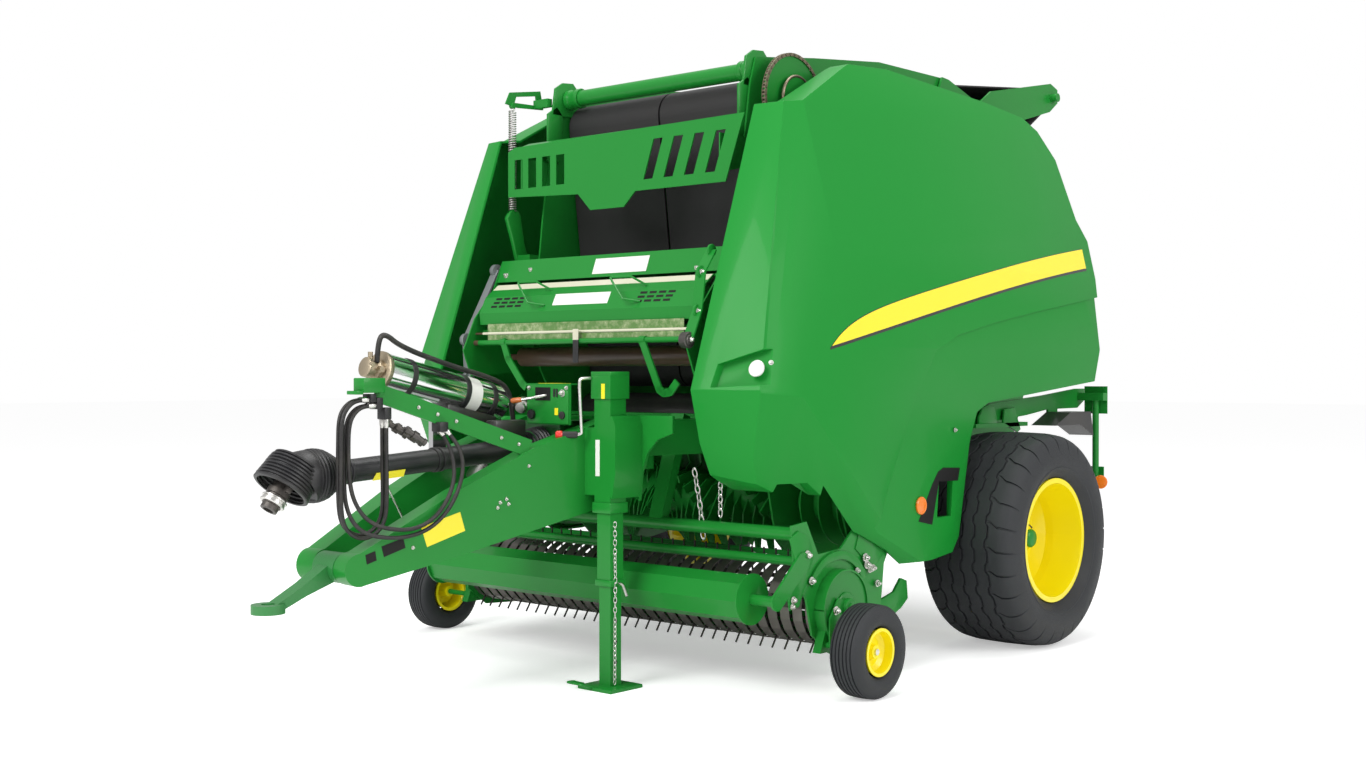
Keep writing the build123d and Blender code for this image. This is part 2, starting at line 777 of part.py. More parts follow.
# Jack: outer tube with its head and gusset, and the leg with its foot
jack_head_low = 1200.0
jack_top = 1300.0
outer_low = 735.0
mid_low = 430.0
align_min = (Align.CENTER, Align.CENTER, Align.MIN)
bore_side = jack_leg_side + 2 * jack_fit
jack = Pos(jack_x, jack_y, outer_low) * Box(jack_outer, jack_outer, jack_top - outer_low, align=align_min)
jack += Pos(jack_x, jack_y, mid_low) * Box(jack_mid, jack_mid, outer_low - mid_low, align=align_min)
jack += Pos(jack_x, jack_y, jack_head_low) * Box(112, 112, jack_top - jack_head_low, align=align_min)
jack -= Pos(jack_x, jack_y, mid_low) * Box(bore_side, bore_side, jack_top - mid_low - 30, align=align_min)
gusset = slab([(jack_y + 46, 780), (jack_y + 46, 1180), (box_front, 1090), (box_front, 905)], jack_x - 6, jack_x + 6)
jack_seat = block(250, jack_x - jack_outer / 2, jack_y - 46, jack_y + 46, 800, 1080) - drawbar
keep("jack_tube", joined([jack, gusset, jack_seat]))
leg = Pos(jack_x, jack_y, foot_plate) * Box(jack_leg_side, jack_leg_side, 700, align=align_min)
foot = Pos(jack_x, jack_y, 0) * Box(foot_side, foot_side, foot_plate, align=align_min)
keep("jack_leg", leg + foot)

# Feed rotor: drum with staggered tine plates, and the augers outside the walls
rotor_pieces = [across(rotor_y, rotor_z, -rotor_plate_x - 9, rotor_plate_x + 9, rotor_shaft)]
rotor_pieces.append(across(rotor_y, rotor_z, -chamber_half + 12, chamber_half - 12, 110))
plate_pitch = 46.0
plate_rows = 24
for row in range(plate_rows):
    x = (row - (plate_rows - 1) / 2) * plate_pitch
    turn = 11.0 * abs(row - (plate_rows - 1) / 2)
    star = []
    for tooth in range(4):
        base = turn + 90 * tooth
        star.append(polar(rotor_y, rotor_z, 104, base))
        star.append(polar(rotor_y, rotor_z, 160, base + 30))
        star.append(polar(rotor_y, rotor_z, rotor_radius, base + 62))
        star.append(polar(rotor_y, rotor_z, rotor_radius - 22, base + 68))
        star.append(polar(rotor_y, rotor_z, 150, base + 60))
    rotor_pieces.append(slab(star, x - 4, x + 4))
for side in (1, -1):
    rotor_pieces.append(across(rotor_y, rotor_z, side * (wall_outer + 6), side * 972, 90))
    for x in (700, 800, 900):
        rotor_pieces.append(across(rotor_y, rotor_z, side * x, side * (x + 6), auger_radius))
keep("feed_rotor", joined(rotor_pieces))

# Pickup: cheeks, front tube, lift arm and bands
cheek_points = [
    polar(rotor_y, rotor_z, 78, 150),
    polar(rotor_y, rotor_z, 78, 90),
    polar(rotor_y, rotor_z, 78, 0),
    polar(rotor_y, rotor_z, 78, -60),
    (-1080, 480),
    (-1110, 260),
    (-1215, 125),
    (-1480, 140),
    (-1600, 230),
    (-1640, 380),
    (-1720, 500),
    (-1730, 600),
    (-1740, 690),
    (-1640, 700),
    (-1560, 560),
    (-1400, 570),
    (-1240, 700),
]
cheek_plate = slab(cheek_points, cheek_in, cheek_in + cheek)
cheek_plate -= across(rotor_y, rotor_z, cheek_in, cheek_in + cheek, pivot_boss + pin_gap)
cheek_plate -= across(guard_y, guard_z, cheek_in, cheek_in + cheek, 14 + pin_gap)
cheek_plate -= across(reel_y, reel_z, cheek_in, cheek_in + cheek, 30 + pin_gap)
cam_cover = across(reel_y, reel_z, cheek_in + cheek, cheek_in + cheek + 45, 150)
cam_cover -= across(reel_y, reel_z, cheek_in + cheek, cheek_in + cheek + 40, 32)
gauge_stub = across(gauge_y, gauge_radius, cheek_in + cheek - 2, gauge_track_half + 30, gauge_axle)
gauge_arm = slab([(-1600, 160), (-1500, 160), (-1450, 300), (-1530, 330)], cheek_in + cheek, cheek_in + cheek + 40)
cheek_side = joined([cheek_plate, cam_cover, gauge_arm, gauge_stub])
front_tube = across(front_tube_y, front_tube_z, -cheek_in - 2, cheek_in + 2, front_tube_radius)
lift_arm = beam((305, front_tube_y, front_tube_z), (305, -1545, 1120), 75, 45)
pan = slab([(-1250, 138), (-1150, 238), (-1156, 244), (-1256, 144)], -cheek_in - 1, cheek_in + 1)
band_top = reel_z + band_radius
band_low = reel_z - band_radius
band_bars = [
    block(-cheek_in - 1, cheek_in + 1, reel_y + 168, reel_y + 190, band_top + rest_gap, band_top + 20),
    block(-cheek_in - 1, cheek_in + 1, reel_y + 168, reel_y + 190, band_low - 26, band_low - rest_gap),
]
keep("pickup_frame", joined(
    [cheek_side, mirrored(cheek_side), front_tube, lift_arm, pan] + band_bars))

band_faces = 10
band_end = reel_y + 190
tine_slot = 18.0
first_tine = -(tine_count - 1) / 2 * tine_pitch


def band_line(radius):
    """Half of a band's outline: straight over the reel, round its front and back under it."""
    front = [polar(reel_y, reel_z, radius, 90 + 180 * k / band_faces) for k in range(band_faces + 1)]
    return [(band_end, reel_z + radius)] + front + [(band_end, reel_z - radius)]


band_outline = band_line(band_radius) + band_line(band_radius - band_plate)[::-1]
band_solids = []
for gap in range(tine_count + 1):
    x0 = first_tine + (gap - 1) * tine_pitch + tine_slot / 2
    x1 = x0 + tine_pitch - tine_slot
    low = max(x0, -cheek_in + rest_gap)
    high = min(x1, cheek_in - rest_gap)
    band_solids.append(slab(band_outline, low, high))
keep("pickup_bands", *band_solids)

# Reel: tube, end discs and combs of tines
reel_pieces = [across(reel_y, reel_z, -cheek_in - cheek - 20, cheek_in + cheek + 20, 30)]
for x in (-cheek_in + 8, -cheek_in / 3, cheek_in / 3, cheek_in - 18):
    reel_pieces.append(across(reel_y, reel_z, x, x + 8, 118))
bar_reach = 112.0
for k in range(tine_bars):
    angle = 360.0 * k / tine_bars + 20
    way = Vector(0, cos(radians(angle)), sin(radians(angle)))
    plane = Plane(origin=(0, reel_y, reel_z), x_dir=(1, 0, 0), z_dir=Vector(1, 0, 0).cross(way))
    comb = [(-cheek_in + 10, bar_reach - 18), (-cheek_in + 10, bar_reach)]
    for n in range(tine_count):
        x = first_tine + n * tine_pitch
        comb += [(x - tine_wire / 2, bar_reach), (x - tine_wire / 2, tine_radius),
                 (x + tine_wire / 2, tine_radius), (x + tine_wire / 2, bar_reach)]
    comb += [(cheek_in - 10, bar_reach), (cheek_in - 10, bar_reach - 18)]
    face = plane * make_face(Polyline(*comb, close=True))
    reel_pieces.append(extrude(face, amount=tine_wire))
keep("pickup_reel", joined(reel_pieces))

# Wind guard: tube on the cheeks, arms to the roller, and the roller itself
arm_in_x = cheek_in + cheek + 6
arm_plate = 10.0
guard_arm_plate = link((guard_y, guard_z), (windrow_y, windrow_z), 40, 36, arm_in_x, arm_in_x + arm_plate)
guard_arm_plate -= across(windrow_y, windrow_z, arm_in_x, arm_in_x + arm_plate, windrow_shaft + pin_gap)
guard_tube = across(guard_y, guard_z, -cheek_in + 6, cheek_in - 6, 20)
guard_pins = across(guard_y, guard_z, -arm_in_x - 2, arm_in_x + 2, 14)
keep("wind_guard", joined([guard_arm_plate, mirrored(guard_arm_plate), guard_tube, guard_pins]))
drum = Pos(0, windrow_y, windrow_z) * Rot(0, 90, 0) * extrude(
    RegularPolygon(windrow_radius - 6, 8), amount=windrow_half, both=True)
roller_pieces = [
    drum,
    across(windrow_y, windrow_z, windrow_half, windrow_half + 8, windrow_radius),
    across(windrow_y, windrow_z, -windrow_half - 8, -windrow_half, windrow_radius),
    across(windrow_y, windrow_z, -arm_in_x - arm_plate, arm_in_x + arm_plate, windrow_shaft),
]
keep("windrow_roller", joined(roller_pieces))

# Side panels: a side outline cut by a front profile, hollowed to a thin wall
panel_side_points = [
    (-1985, 1262),
    (-1900, 1410),
    (-1560, 2400),
    (-1500, 2450),
    (-1130, 2650),
    (-1090, 2668),
    (-780, 2690),
    (60, 2650),
    (430, 2615),
    (560, 2560),
    (690, 2420),
    (780, 2110),
    (860, 2000),
    (860, 1430),
    (800, 1262),
    (-280, 1166),
    (-385, 1125),
    (-450, 990),
    (-545, 560),
    (-600, 490),
    (-775, 470),
    (-980, 468),
    (-1100, 540),
    (-1860, 862),
    (-1925, 900),
    (-1935, 990),
]
panel_front_points = [
    (790, 400),
    (panel_x, 400),
    (panel_x, 1420),
    (1095, 1800),
    (950, 2430),
    (880, 2700),
    (790, 2700),
]
side_body = slab(panel_side_points, 790, panel_x)
profile = front_slab(panel_front_points, 1000, -2100)
outer_form = side_body & profile
plan_points = [
    (780, 1000),
    (panel_x + 1, 1000),
    (panel_x + 1, -1700),
    (1060, -1975),
    (1050, -1990),
    (790, -2050),
    (780, -2050),
]
plan = extrude(Plane.XY.offset(300) * make_face(Polyline(*plan_points, close=True)), amount=2600)
outer_form = outer_form & plan


panel_skin = outer_form - Pos(-panel_wall, panel_wall + 2, -panel_wall) * outer_form
lugs = []
for y, roof in ((-700, 2680), (0, 2646)):
    lugs.append(rod((panel_hinge_x, y - 45, panel_hinge_z), (panel_hinge_x, y + 45, panel_hinge_z), hinge_pin))
    for y0 in (y - 45, y + 37):
        lugs.append(block(panel_hinge_x - 5, panel_hinge_x + 25, y0, y0 + 8, panel_hinge_z, roof))
panel = joined([panel_skin] + lugs)
keep("side_panel_left", panel)
keep("side_panel_right", mirrored(panel))

# Save every piece, moved so that the model's length is centred
front_tip = eye_y - eye_radius
rear_tip = arm_tip[0] + 65
shift = -(front_tip + rear_tip) / 2
print("shift", shift)
for name, pieces in nodes.items():
    solids = []
    for piece in pieces:
        solids += (Pos(0, shift, 0) * piece).solids()
    shape = solids[0] if len(solids) == 1 else Compound(children=solids)
    export_step(shape, "parts/" + name + ".step")
print(len(nodes), "nodes")
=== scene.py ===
# %% [markdown]
# A round baler, dressed for its picture. The imported CAD model gives every rigid piece at its
# real size. This notebook adds what CAD leaves plain: paint, rubber, treads, bolts, hoses,
# stripes and blank labels. First the model is loaded.

# %% Load the frame
import math
from collections import Counter

import bpy
from mathutils import Matrix, Vector


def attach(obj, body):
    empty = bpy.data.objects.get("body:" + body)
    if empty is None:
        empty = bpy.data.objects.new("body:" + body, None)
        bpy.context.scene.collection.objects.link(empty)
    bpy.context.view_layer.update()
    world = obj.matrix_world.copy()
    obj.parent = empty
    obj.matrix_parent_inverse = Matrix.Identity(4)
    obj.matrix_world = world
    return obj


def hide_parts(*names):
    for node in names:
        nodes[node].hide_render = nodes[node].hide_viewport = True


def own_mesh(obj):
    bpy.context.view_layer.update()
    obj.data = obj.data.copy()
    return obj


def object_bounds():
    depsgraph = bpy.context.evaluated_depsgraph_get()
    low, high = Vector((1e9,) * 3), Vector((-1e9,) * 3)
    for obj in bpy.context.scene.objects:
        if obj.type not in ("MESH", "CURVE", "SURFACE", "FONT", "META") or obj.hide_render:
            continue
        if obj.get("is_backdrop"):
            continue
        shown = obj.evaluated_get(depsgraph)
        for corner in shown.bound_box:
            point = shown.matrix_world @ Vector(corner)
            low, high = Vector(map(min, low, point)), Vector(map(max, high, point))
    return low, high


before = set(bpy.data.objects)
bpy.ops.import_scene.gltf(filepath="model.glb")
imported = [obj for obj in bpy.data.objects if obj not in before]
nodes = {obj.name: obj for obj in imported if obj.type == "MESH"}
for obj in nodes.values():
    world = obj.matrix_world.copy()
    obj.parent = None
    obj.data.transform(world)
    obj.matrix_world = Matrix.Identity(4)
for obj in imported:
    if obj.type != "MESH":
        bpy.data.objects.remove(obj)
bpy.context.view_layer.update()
shift = 1.1235  # the layout's y starts at the axle, and the model's y at its middle

# %% [markdown]
# The photograph was taken from the front left corner, about 1.3 m above the ground. The camera
# looks almost level. The lens was worked out from the wheels, so the view fits without a shift.

# %% Camera
camera_data = bpy.data.cameras.new("camera")
camera_data.lens = 41.06
camera_data.sensor_width = 36.0
camera = bpy.data.objects.new("camera", camera_data)
bpy.context.scene.collection.objects.link(camera)
camera.location = (4.884, -6.737 + shift, 1.309)
level = 90
look_down = 0.43
look_round = 41.33
camera.rotation_euler = (math.radians(level - look_down), 0, math.radians(look_round))
bpy.context.scene.camera = camera
bpy.context.scene.view_settings.view_transform = "Standard"
print("camera at", tuple(round(v, 3) for v in camera.location), "lens", camera_data.lens)

# %% [markdown]
# The studio is a pale floor under soft lamps. The world is plain white where the camera sees it,
# straight or through glass, and dimmer where it lights the object, so that the shapes keep shade.

# %% Floor, world and lamps
def deselect():
    if bpy.context.object and bpy.context.object.mode != "OBJECT":
        bpy.ops.object.mode_set(mode="OBJECT")
    bpy.ops.object.select_all(action="DESELECT")


deselect()
bpy.ops.mesh.primitive_plane_add(size=120, location=(0, 0, 0))
floor = bpy.context.object
floor.name = "floor"
floor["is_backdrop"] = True
floor_material = bpy.data.materials.new("studio floor")
floor_material.use_nodes = True
tree = floor_material.node_tree
shader = tree.nodes["Principled BSDF"]
shader.inputs["Base Color"].default_value = (0.90, 0.90, 0.90, 1)
shader.inputs["Roughness"].default_value = 0.9
shader.inputs["Specular IOR Level"].default_value = 0.0
shader.inputs["Emission Color"].default_value = (1, 1, 1, 1)
ray = tree.nodes.new("ShaderNodeLightPath")
glow = tree.nodes.new("ShaderNodeMath")
glow.operation = "MULTIPLY"
floor_glow = 0.42
glow.inputs[1].default_value = floor_glow
tree.links.new(ray.outputs["Is Camera Ray"], glow.inputs[0])
tree.links.new(glow.outputs[0], shader.inputs["Emission Strength"])
floor.data.materials.append(floor_material)

world = bpy.data.worlds.new("studio")
bpy.context.scene.world = world
world.use_nodes = True
tree = world.node_tree
background = tree.nodes["Background"]
background.inputs["Color"].default_value = (1, 1, 1, 1)
ray = tree.nodes.new("ShaderNodeLightPath")
seen = tree.nodes.new("ShaderNodeMath")
seen.operation = "MAXIMUM"
tree.links.new(ray.outputs["Is Camera Ray"], seen.inputs[0])
tree.links.new(ray.outputs["Is Transmission Ray"], seen.inputs[1])
strength = tree.nodes.new("ShaderNodeMapRange")
light_on_object = 0.62
strength.inputs["To Min"].default_value = light_on_object
strength.inputs["To Max"].default_value = 1.0
tree.links.new(seen.outputs[0], strength.inputs["Value"])
tree.links.new(strength.outputs["Result"], background.inputs["Strength"])

lamp_table = [
    # name, place, size, power, aimed at
    ("key lamp", (0.5, -9.0, 6.5), 5.0, 620, (0, 0, 1.2)),
    ("side lamp", (9.0, 0.5, 5.0), 5.0, 300, (0, 0, 1.2)),
    ("top lamp", (0.0, 1.0, 8.5), 6.0, 330, (0, 0, 1.0)),
]
for name, place, size, power, aim in lamp_table:
    lamp = bpy.data.lights.new(name, "AREA")
    lamp.shape = "DISK"
    lamp.size = size
    lamp.energy = power
    lamp_object = bpy.data.objects.new(name, lamp)
    bpy.context.scene.collection.objects.link(lamp_object)
    lamp_object.location = place
    aim_way = Vector(aim) - Vector(place)
    lamp_object.rotation_euler = aim_way.to_track_quat("-Z", "Y").to_euler()
print(len(lamp_table), "lamps")

# %% [markdown]
# Paint, rubber and cast iron are never one even colour. Each finish could have its own nodes,
# but then the same noise would be built twenty times. So all of them start from one group. It
# varies the colour a little over the surface, changes the roughness in patches and gives a fine
# height for the bump. Each material then sets its own values: paint has a fine orange peel,
# castings are coarse, rubber is dull and dusty.

# %% The group for uneven surfaces
def new_group(name, inputs, outputs):
    group = bpy.data.node_groups.new(name, "ShaderNodeTree")
    for socket, kind, value in inputs:
        made = group.interface.new_socket(name=socket, in_out="INPUT", socket_type=kind)
        made.default_value = value
    for socket, kind in outputs:
        group.interface.new_socket(name=socket, in_out="OUTPUT", socket_type=kind)
    return group, group.nodes.new("NodeGroupInput"), group.nodes.new("NodeGroupOutput")


number = "NodeSocketFloat"
colour = "NodeSocketColor"
uneven, ins, outs = new_group(
    "uneven surface",
    [("Color", colour, (0.5, 0.5, 0.5, 1)), ("Dust", colour, (0.3, 0.27, 0.2, 1)),
     ("Dust amount", number, 0.1), ("Patch scale", number, 3.0), ("Grain scale", number, 400.0),
     ("Roughness", number, 0.4), ("Roughness change", number, 0.1)],
    [("Color", colour), ("Roughness", number), ("Height", number)])
made = uneven.nodes
link = uneven.links.new
place = made.new("ShaderNodeTexCoord")
patches = made.new("ShaderNodeTexNoise")
patches.inputs["Detail"].default_value = 6
patches.inputs["Roughness"].default_value = 0.62
link(place.outputs["Object"], patches.inputs["Vector"])
link(ins.outputs["Patch scale"], patches.inputs["Scale"])
grain = made.new("ShaderNodeTexNoise")
grain.inputs["Detail"].default_value = 3
link(place.outputs["Object"], grain.inputs["Vector"])
link(ins.outputs["Grain scale"], grain.inputs["Scale"])
spread = made.new("ShaderNodeMapRange")
spread.inputs["From Min"].default_value = 0.42
spread.inputs["From Max"].default_value = 0.75
link(patches.outputs["Fac"], spread.inputs["Value"])
share = made.new("ShaderNodeMath")
share.operation = "MULTIPLY"
link(spread.outputs["Result"], share.inputs[0])
link(ins.outputs["Dust amount"], share.inputs[1])
mix = made.new("ShaderNodeMix")
mix.data_type = "RGBA"
link(share.outputs[0], mix.inputs["Factor"])
link(ins.outputs["Color"], mix.inputs["A"])
link(ins.outputs["Dust"], mix.inputs["B"])
link(mix.outputs["Result"], outs.inputs["Color"])
change = made.new("ShaderNodeMath")
change.operation = "MULTIPLY_ADD"
link(spread.outputs["Result"], change.inputs[0])
link(ins.outputs["Roughness change"], change.inputs[1])
link(ins.outputs["Roughness"], change.inputs[2])
link(change.outputs[0], outs.inputs["Roughness"])
link(grain.outputs["Fac"], outs.inputs["Height"])


# %% A material from the group
def finish(name, color, rough, bump, grain_scale=400.0, patch_scale=3.0, dust=0.05,
           dust_color=(0.30, 0.27, 0.20), change=0.08, metal=0.0, coat=0.0, specular=0.5):
    material = bpy.data.materials.new(name)
    material.use_nodes = True
    nodes_here = material.node_tree.nodes
    join = material.node_tree.links.new
    shader = nodes_here["Principled BSDF"]
    group = nodes_here.new("ShaderNodeGroup")
    group.node_tree = uneven
    group.name = "uneven"
    group.inputs["Color"].default_value = (*color, 1)
    group.inputs["Dust"].default_value = (*dust_color, 1)
    group.inputs["Dust amount"].default_value = dust
    group.inputs["Patch scale"].default_value = patch_scale
    group.inputs["Grain scale"].default_value = grain_scale
    group.inputs["Roughness"].default_value = rough
    group.inputs["Roughness change"].default_value = change
    join(group.outputs["Color"], shader.inputs["Base Color"])
    join(group.outputs["Roughness"], shader.inputs["Roughness"])
    relief = nodes_here.new("ShaderNodeBump")
    relief.name = "relief"
    relief.inputs["Strength"].default_value = bump
    relief.inputs["Distance"].default_value = 0.002
    join(group.outputs["Height"], relief.inputs["Height"])
    join(relief.outputs["Normal"], shader.inputs["Normal"])
    shader.inputs["Metallic"].default_value = metal
    shader.inputs["Coat Weight"].default_value = coat
    shader.inputs["Coat Roughness"].default_value = 0.06
    shader.inputs["Specular IOR Level"].default_value = specular
    material.diffuse_color = (*color, 1)
    return material


# name, colour, roughness, bump, grain scale, patch scale, dust, dust's colour, roughness change
green = finish("green paint", (0.010, 0.225, 0.026), 0.34, 0.05, 900, 1.6, 0.04,
               (0.02, 0.28, 0.04), 0.06, coat=0.15, specular=0.3)
panel_green = finish("panel green", (0.007, 0.245, 0.026), 0.42, 0.03, 700, 0.9, 0.03,
                     (0.02, 0.29, 0.04), 0.05, coat=0.06, specular=0.18)
rim_yellow = finish("rim yellow", (0.95, 0.80, 0.002), 0.30, 0.05, 900, 2.0, 0.05,
                    (0.80, 0.62, 0.02), 0.08, coat=0.3)
black_paint = finish("black paint", (0.012, 0.012, 0.013), 0.35, 0.08, 700, 3, 0.08, coat=0.3)
tyre_rubber = finish("tyre rubber", (0.016, 0.018, 0.021), 0.55, 0.35, 1300, 5, 0.10,
                     (0.06, 0.06, 0.06), 0.14)
belt_rubber = finish("belt rubber", (0.018, 0.017, 0.018), 0.6, 0.5, 500, 2, 0.20,
                     (0.05, 0.045, 0.04), 0.15)
plastic = finish("black plastic", (0.014, 0.014, 0.016), 0.38, 0.18, 1500, 4, 0.06)
hose_rubber = finish("hose rubber", (0.015, 0.014, 0.014), 0.42, 0.25, 1800, 12, 0.10)
steel = finish("bare steel", (0.52, 0.51, 0.49), 0.34, 0.12, 600, 6, 0.35,
               (0.34, 0.30, 0.26), 0.2, metal=1.0)
dark_steel = finish("dark steel", (0.10, 0.095, 0.09), 0.40, 0.18, 700, 5, 0.3,
                    (0.16, 0.12, 0.09), 0.15, metal=0.8)
band_steel = finish("band steel", (0.20, 0.185, 0.17), 0.34, 0.10, 500, 7, 0.35,
                    (0.10, 0.08, 0.07), 0.15, metal=0.9)
zinc = finish("zinc plate", (0.72, 0.71, 0.68), 0.26, 0.10, 900, 9, 0.25,
              (0.55, 0.52, 0.45), 0.12, metal=1.0)
chrome = finish("chrome", (0.83, 0.83, 0.84), 0.09, 0.02, 900, 3, 0.05, metal=1.0)
cast = finish("cast iron", (0.020, 0.20, 0.040), 0.45, 0.55, 220, 4, 0.06, coat=0.2)
roller_brown = finish("roller brown", (0.10, 0.055, 0.035), 0.34, 0.12, 300, 8, 0.5,
                      (0.05, 0.035, 0.03), 0.15, coat=0.2)
orange_lens = finish("orange lens", (0.95, 0.22, 0.01), 0.16, 0.25, 1200, 3, 0.0, coat=0.6)
white_lens = finish("white lens", (0.80, 0.80, 0.78), 0.20, 0.20, 1200, 3, 0.0, coat=0.6)
print(len(bpy.data.materials), "materials")

# %% [markdown]
# The CAD nodes whose shape is right stay, and only get their finish. A table names the finish
# of each piece, as a parts list would.

# %% Finishes of the CAD pieces
finish_table = {
    green: ["drawbar", "front_guard", "gate_frame", "gate_wall_left", "gate_wall_right",
            "hose_bracket", "jack_tube", "jack_leg", "lamp_brackets", "main_frame", "net_box",
            "net_lid", "pickup_frame", "side_wall_left", "side_wall_right", "tension_arms",
            "top_tube", "wind_guard", "windrow_roller", "valve_box", "feed_rotor",
            "drive_sprockets"],
    panel_green: ["side_panel_left", "side_panel_right"],
    rim_yellow: ["rim_left", "rim_right", "gauge_rim_left", "gauge_rim_right"],
    black_paint: ["belt_spring", "gate_barrel_left", "gate_barrel_right", "wheel_chocks",
                  "front_rollers"],
    tyre_rubber: ["tyre_left", "tyre_right", "gauge_tyre_left", "gauge_tyre_right"],
    belt_rubber: ["front_belts", "gate_belts"],
    roller_brown: ["net_rollers"],
    plastic: ["shaft_cones", "drive_shaft"],
    dark_steel: ["drive_chain", "pickup_reel"],
    band_steel: ["pickup_bands", "gate_rollers"],
    cast: ["tow_eye", "gearbox"],
    chrome: ["gate_rod_left", "gate_rod_right", "oil_reservoir"],
    orange_lens: ["rear_reflectors"],
}
for material, names in finish_table.items():
    for name in names:
        data = nodes[name].data
        data.materials.clear()
        data.materials.append(material)
bare = [name for name in nodes if not nodes[name].data.materials]
print("pieces without a finish", bare)
smooth_below = 32.0


def activate(piece):
    """Select one piece alone, for the next operator."""
    deselect()
    piece.select_set(True)
    bpy.context.view_layer.objects.active = piece


for node in nodes.values():
    activate(node)
    bpy.ops.object.shade_smooth_by_angle(angle=math.radians(smooth_below))

# %% [markdown]
# The main tyres are implement tyres: five zigzag grooves run round the tread, and the shoulders
# have lugs with bent grooves between them. Grooves could be cut from a smooth ring, but that
# leaves a ragged mesh. A torus is a ready ring of rows and columns. Each column is moved to its
# place in the section and each row to its angle, so that the edges of the grooves lie exactly
# on the mesh. A torus has 256 rows at most, and 28 pitches of 9 rows fit in.

# %% A tyre from a torus
def at(x, y, z):
    """The layout's millimetres as a point of the model."""
    return Vector((x / 1000, y / 1000 + shift, z / 1000))


def settle():
    """Turn the normals outwards and leave edit mode."""
    bpy.ops.mesh.select_all(action="SELECT")
    bpy.ops.mesh.normals_make_consistent(inside=False)
    bpy.ops.object.mode_set(mode="OBJECT")


def ring_mesh(name, row_angles, columns, move):
    """A torus whose rows are angles and whose columns are points of a closed section."""
    deselect()
    bpy.ops.mesh.primitive_torus_add(
        major_segments=len(row_angles), minor_segments=len(columns),
        major_radius=1.0, minor_radius=0.3)
    ring = bpy.context.object
    ring.name = name
    ring.data.name = name
    for index, vertex in enumerate(ring.data.vertices):
        row, column = divmod(index, len(columns))
        angle = row_angles[row]
        out, radius, angle = move(row, column, angle)
        vertex.co = (out, -radius * math.cos(angle), radius * math.sin(angle))
    ring.matrix_world = Matrix.Identity(4)
    bpy.ops.object.mode_set(mode="EDIT")
    settle()
    return ring


def put_tyre(ring, name, centre, side):
    """Turn a tyre's outer face to its side, put it at the axle and on its wheel."""
    x, y, z = centre
    turn = Matrix.Diagonal((side, 1, 1, 1))
    ring.data.transform(Matrix.Translation(at(side * x, y, z)) @ turn)
    if side < 0:
        ring.data.flip_normals()
    ring.data.update()
    ring.data.materials.append(tyre_rubber)
    bpy.ops.object.shade_smooth_by_angle(angle=math.radians(tyre_smooth))
    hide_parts(name)
    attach(ring, name.replace("tyre", "wheel"))


wheel_centre = (1109, 0, 510)
gauge_centre = (1314, -1551, 190)
tyre_smooth = 28
pitches = 28
row_steps = [
    # share of a pitch, is it the floor of a lug groove, sideways shift of the zigzag
    (0.000, 0, -1.0),
    (0.030, 0, -1.0),
    (0.048, 1, -1.0),
    (0.100, 1, -1.0),
    (0.118, 0, -1.0),
    (0.270, 0, -0.9),
    (0.420, 0, 0.9),
    (0.620, 0, 1.0),
    (0.850, 0, 0.9),
]
row_angles = []
row_kinds = []
for pitch in range(pitches):
    for share, is_floor, zig in row_steps:
        row_angles.append((pitch + share) * 2 * math.pi / pitches)
        row_kinds.append((is_floor, zig))

crown = [(0, 510), (111, 508), (150, 505), (197.6, 497), (227, 476), (242, 433), (247, 391)]


def crown_radius(x):
    for (x0, r0), (x1, r1) in zip(crown, crown[1:]):
        if x <= x1:
            return r0 + (r1 - r0) * (x - x0) / (x1 - x0)
    return crown[-1][1]


groove_depth = 9.0
centre_columns = []
for groove in (-130, -65, 0, 65, 130):
    for offset, depth in ((-6.5, 0), (-4, groove_depth), (4, groove_depth), (6.5, 0)):
        x = groove + offset
        centre_columns.append((x, crown_radius(abs(x)), "zig", depth))
shoulder = [(146, 505), (160, 503.5), (176, 501), (192, 498), (208, 491), (220, 482.5),
            (230, 470), (237, 455), (242, 437), (245, 418)]
shoulder_columns = [(x, r, "lug", groove_depth if r > 450 else (r - 415) * 0.25)
                    for x, r in shoulder]
side_points = [(247, 402), (247, 386), (244.5, 366), (240, 352), (242, 347), (240, 341),
               (234, 334), (222, 318), (208, 303), (199, 296)]
side_columns = [(x, r, "plain", 0) for x, r in side_points]
outer_half = shoulder_columns + side_columns
mirror_half = [(-x, r, kind, depth) for x, r, kind, depth in reversed(outer_half)]
inner_points = [(182, 292), (212, 350), (206, 440), (150, 478), (0, 484),
                (-150, 478), (-206, 440), (-212, 350), (-182, 292)]
inner_columns = [(x, r, "plain", 0) for x, r in inner_points]
tyre_columns = mirror_half + centre_columns + outer_half + inner_columns


zig_reach = 7.0
lug_start = 140
lug_knee = 34.0
lug_bend = 26.0
lug_lean = 0.10


def tread(row, column, angle):
    x, radius, kind, depth = tyre_columns[column]
    is_floor, zig = row_kinds[row]
    if kind == "zig":
        x += zig_reach * zig
        radius -= depth
    if kind == "lug":
        reach = abs(x) - lug_start
        bend = lug_bend * min(max(reach / lug_knee, 0), 1) + lug_lean * max(reach - lug_knee, 0)
        angle -= bend / radius
        radius -= depth * is_floor
    return x / 1000, radius / 1000, angle


for side, name in ((1, "left"), (-1, "right")):
    tyre = ring_mesh("tyre_tread_" + name, row_angles, tyre_columns, tread)
    put_tyre(tyre, "tyre_" + name, wheel_centre, side)
print("tyre faces", len(tyre.data.polygons))

# %% [markdown]
# The gauge wheels' tyres have plain ribs round them, so every row is the same section.

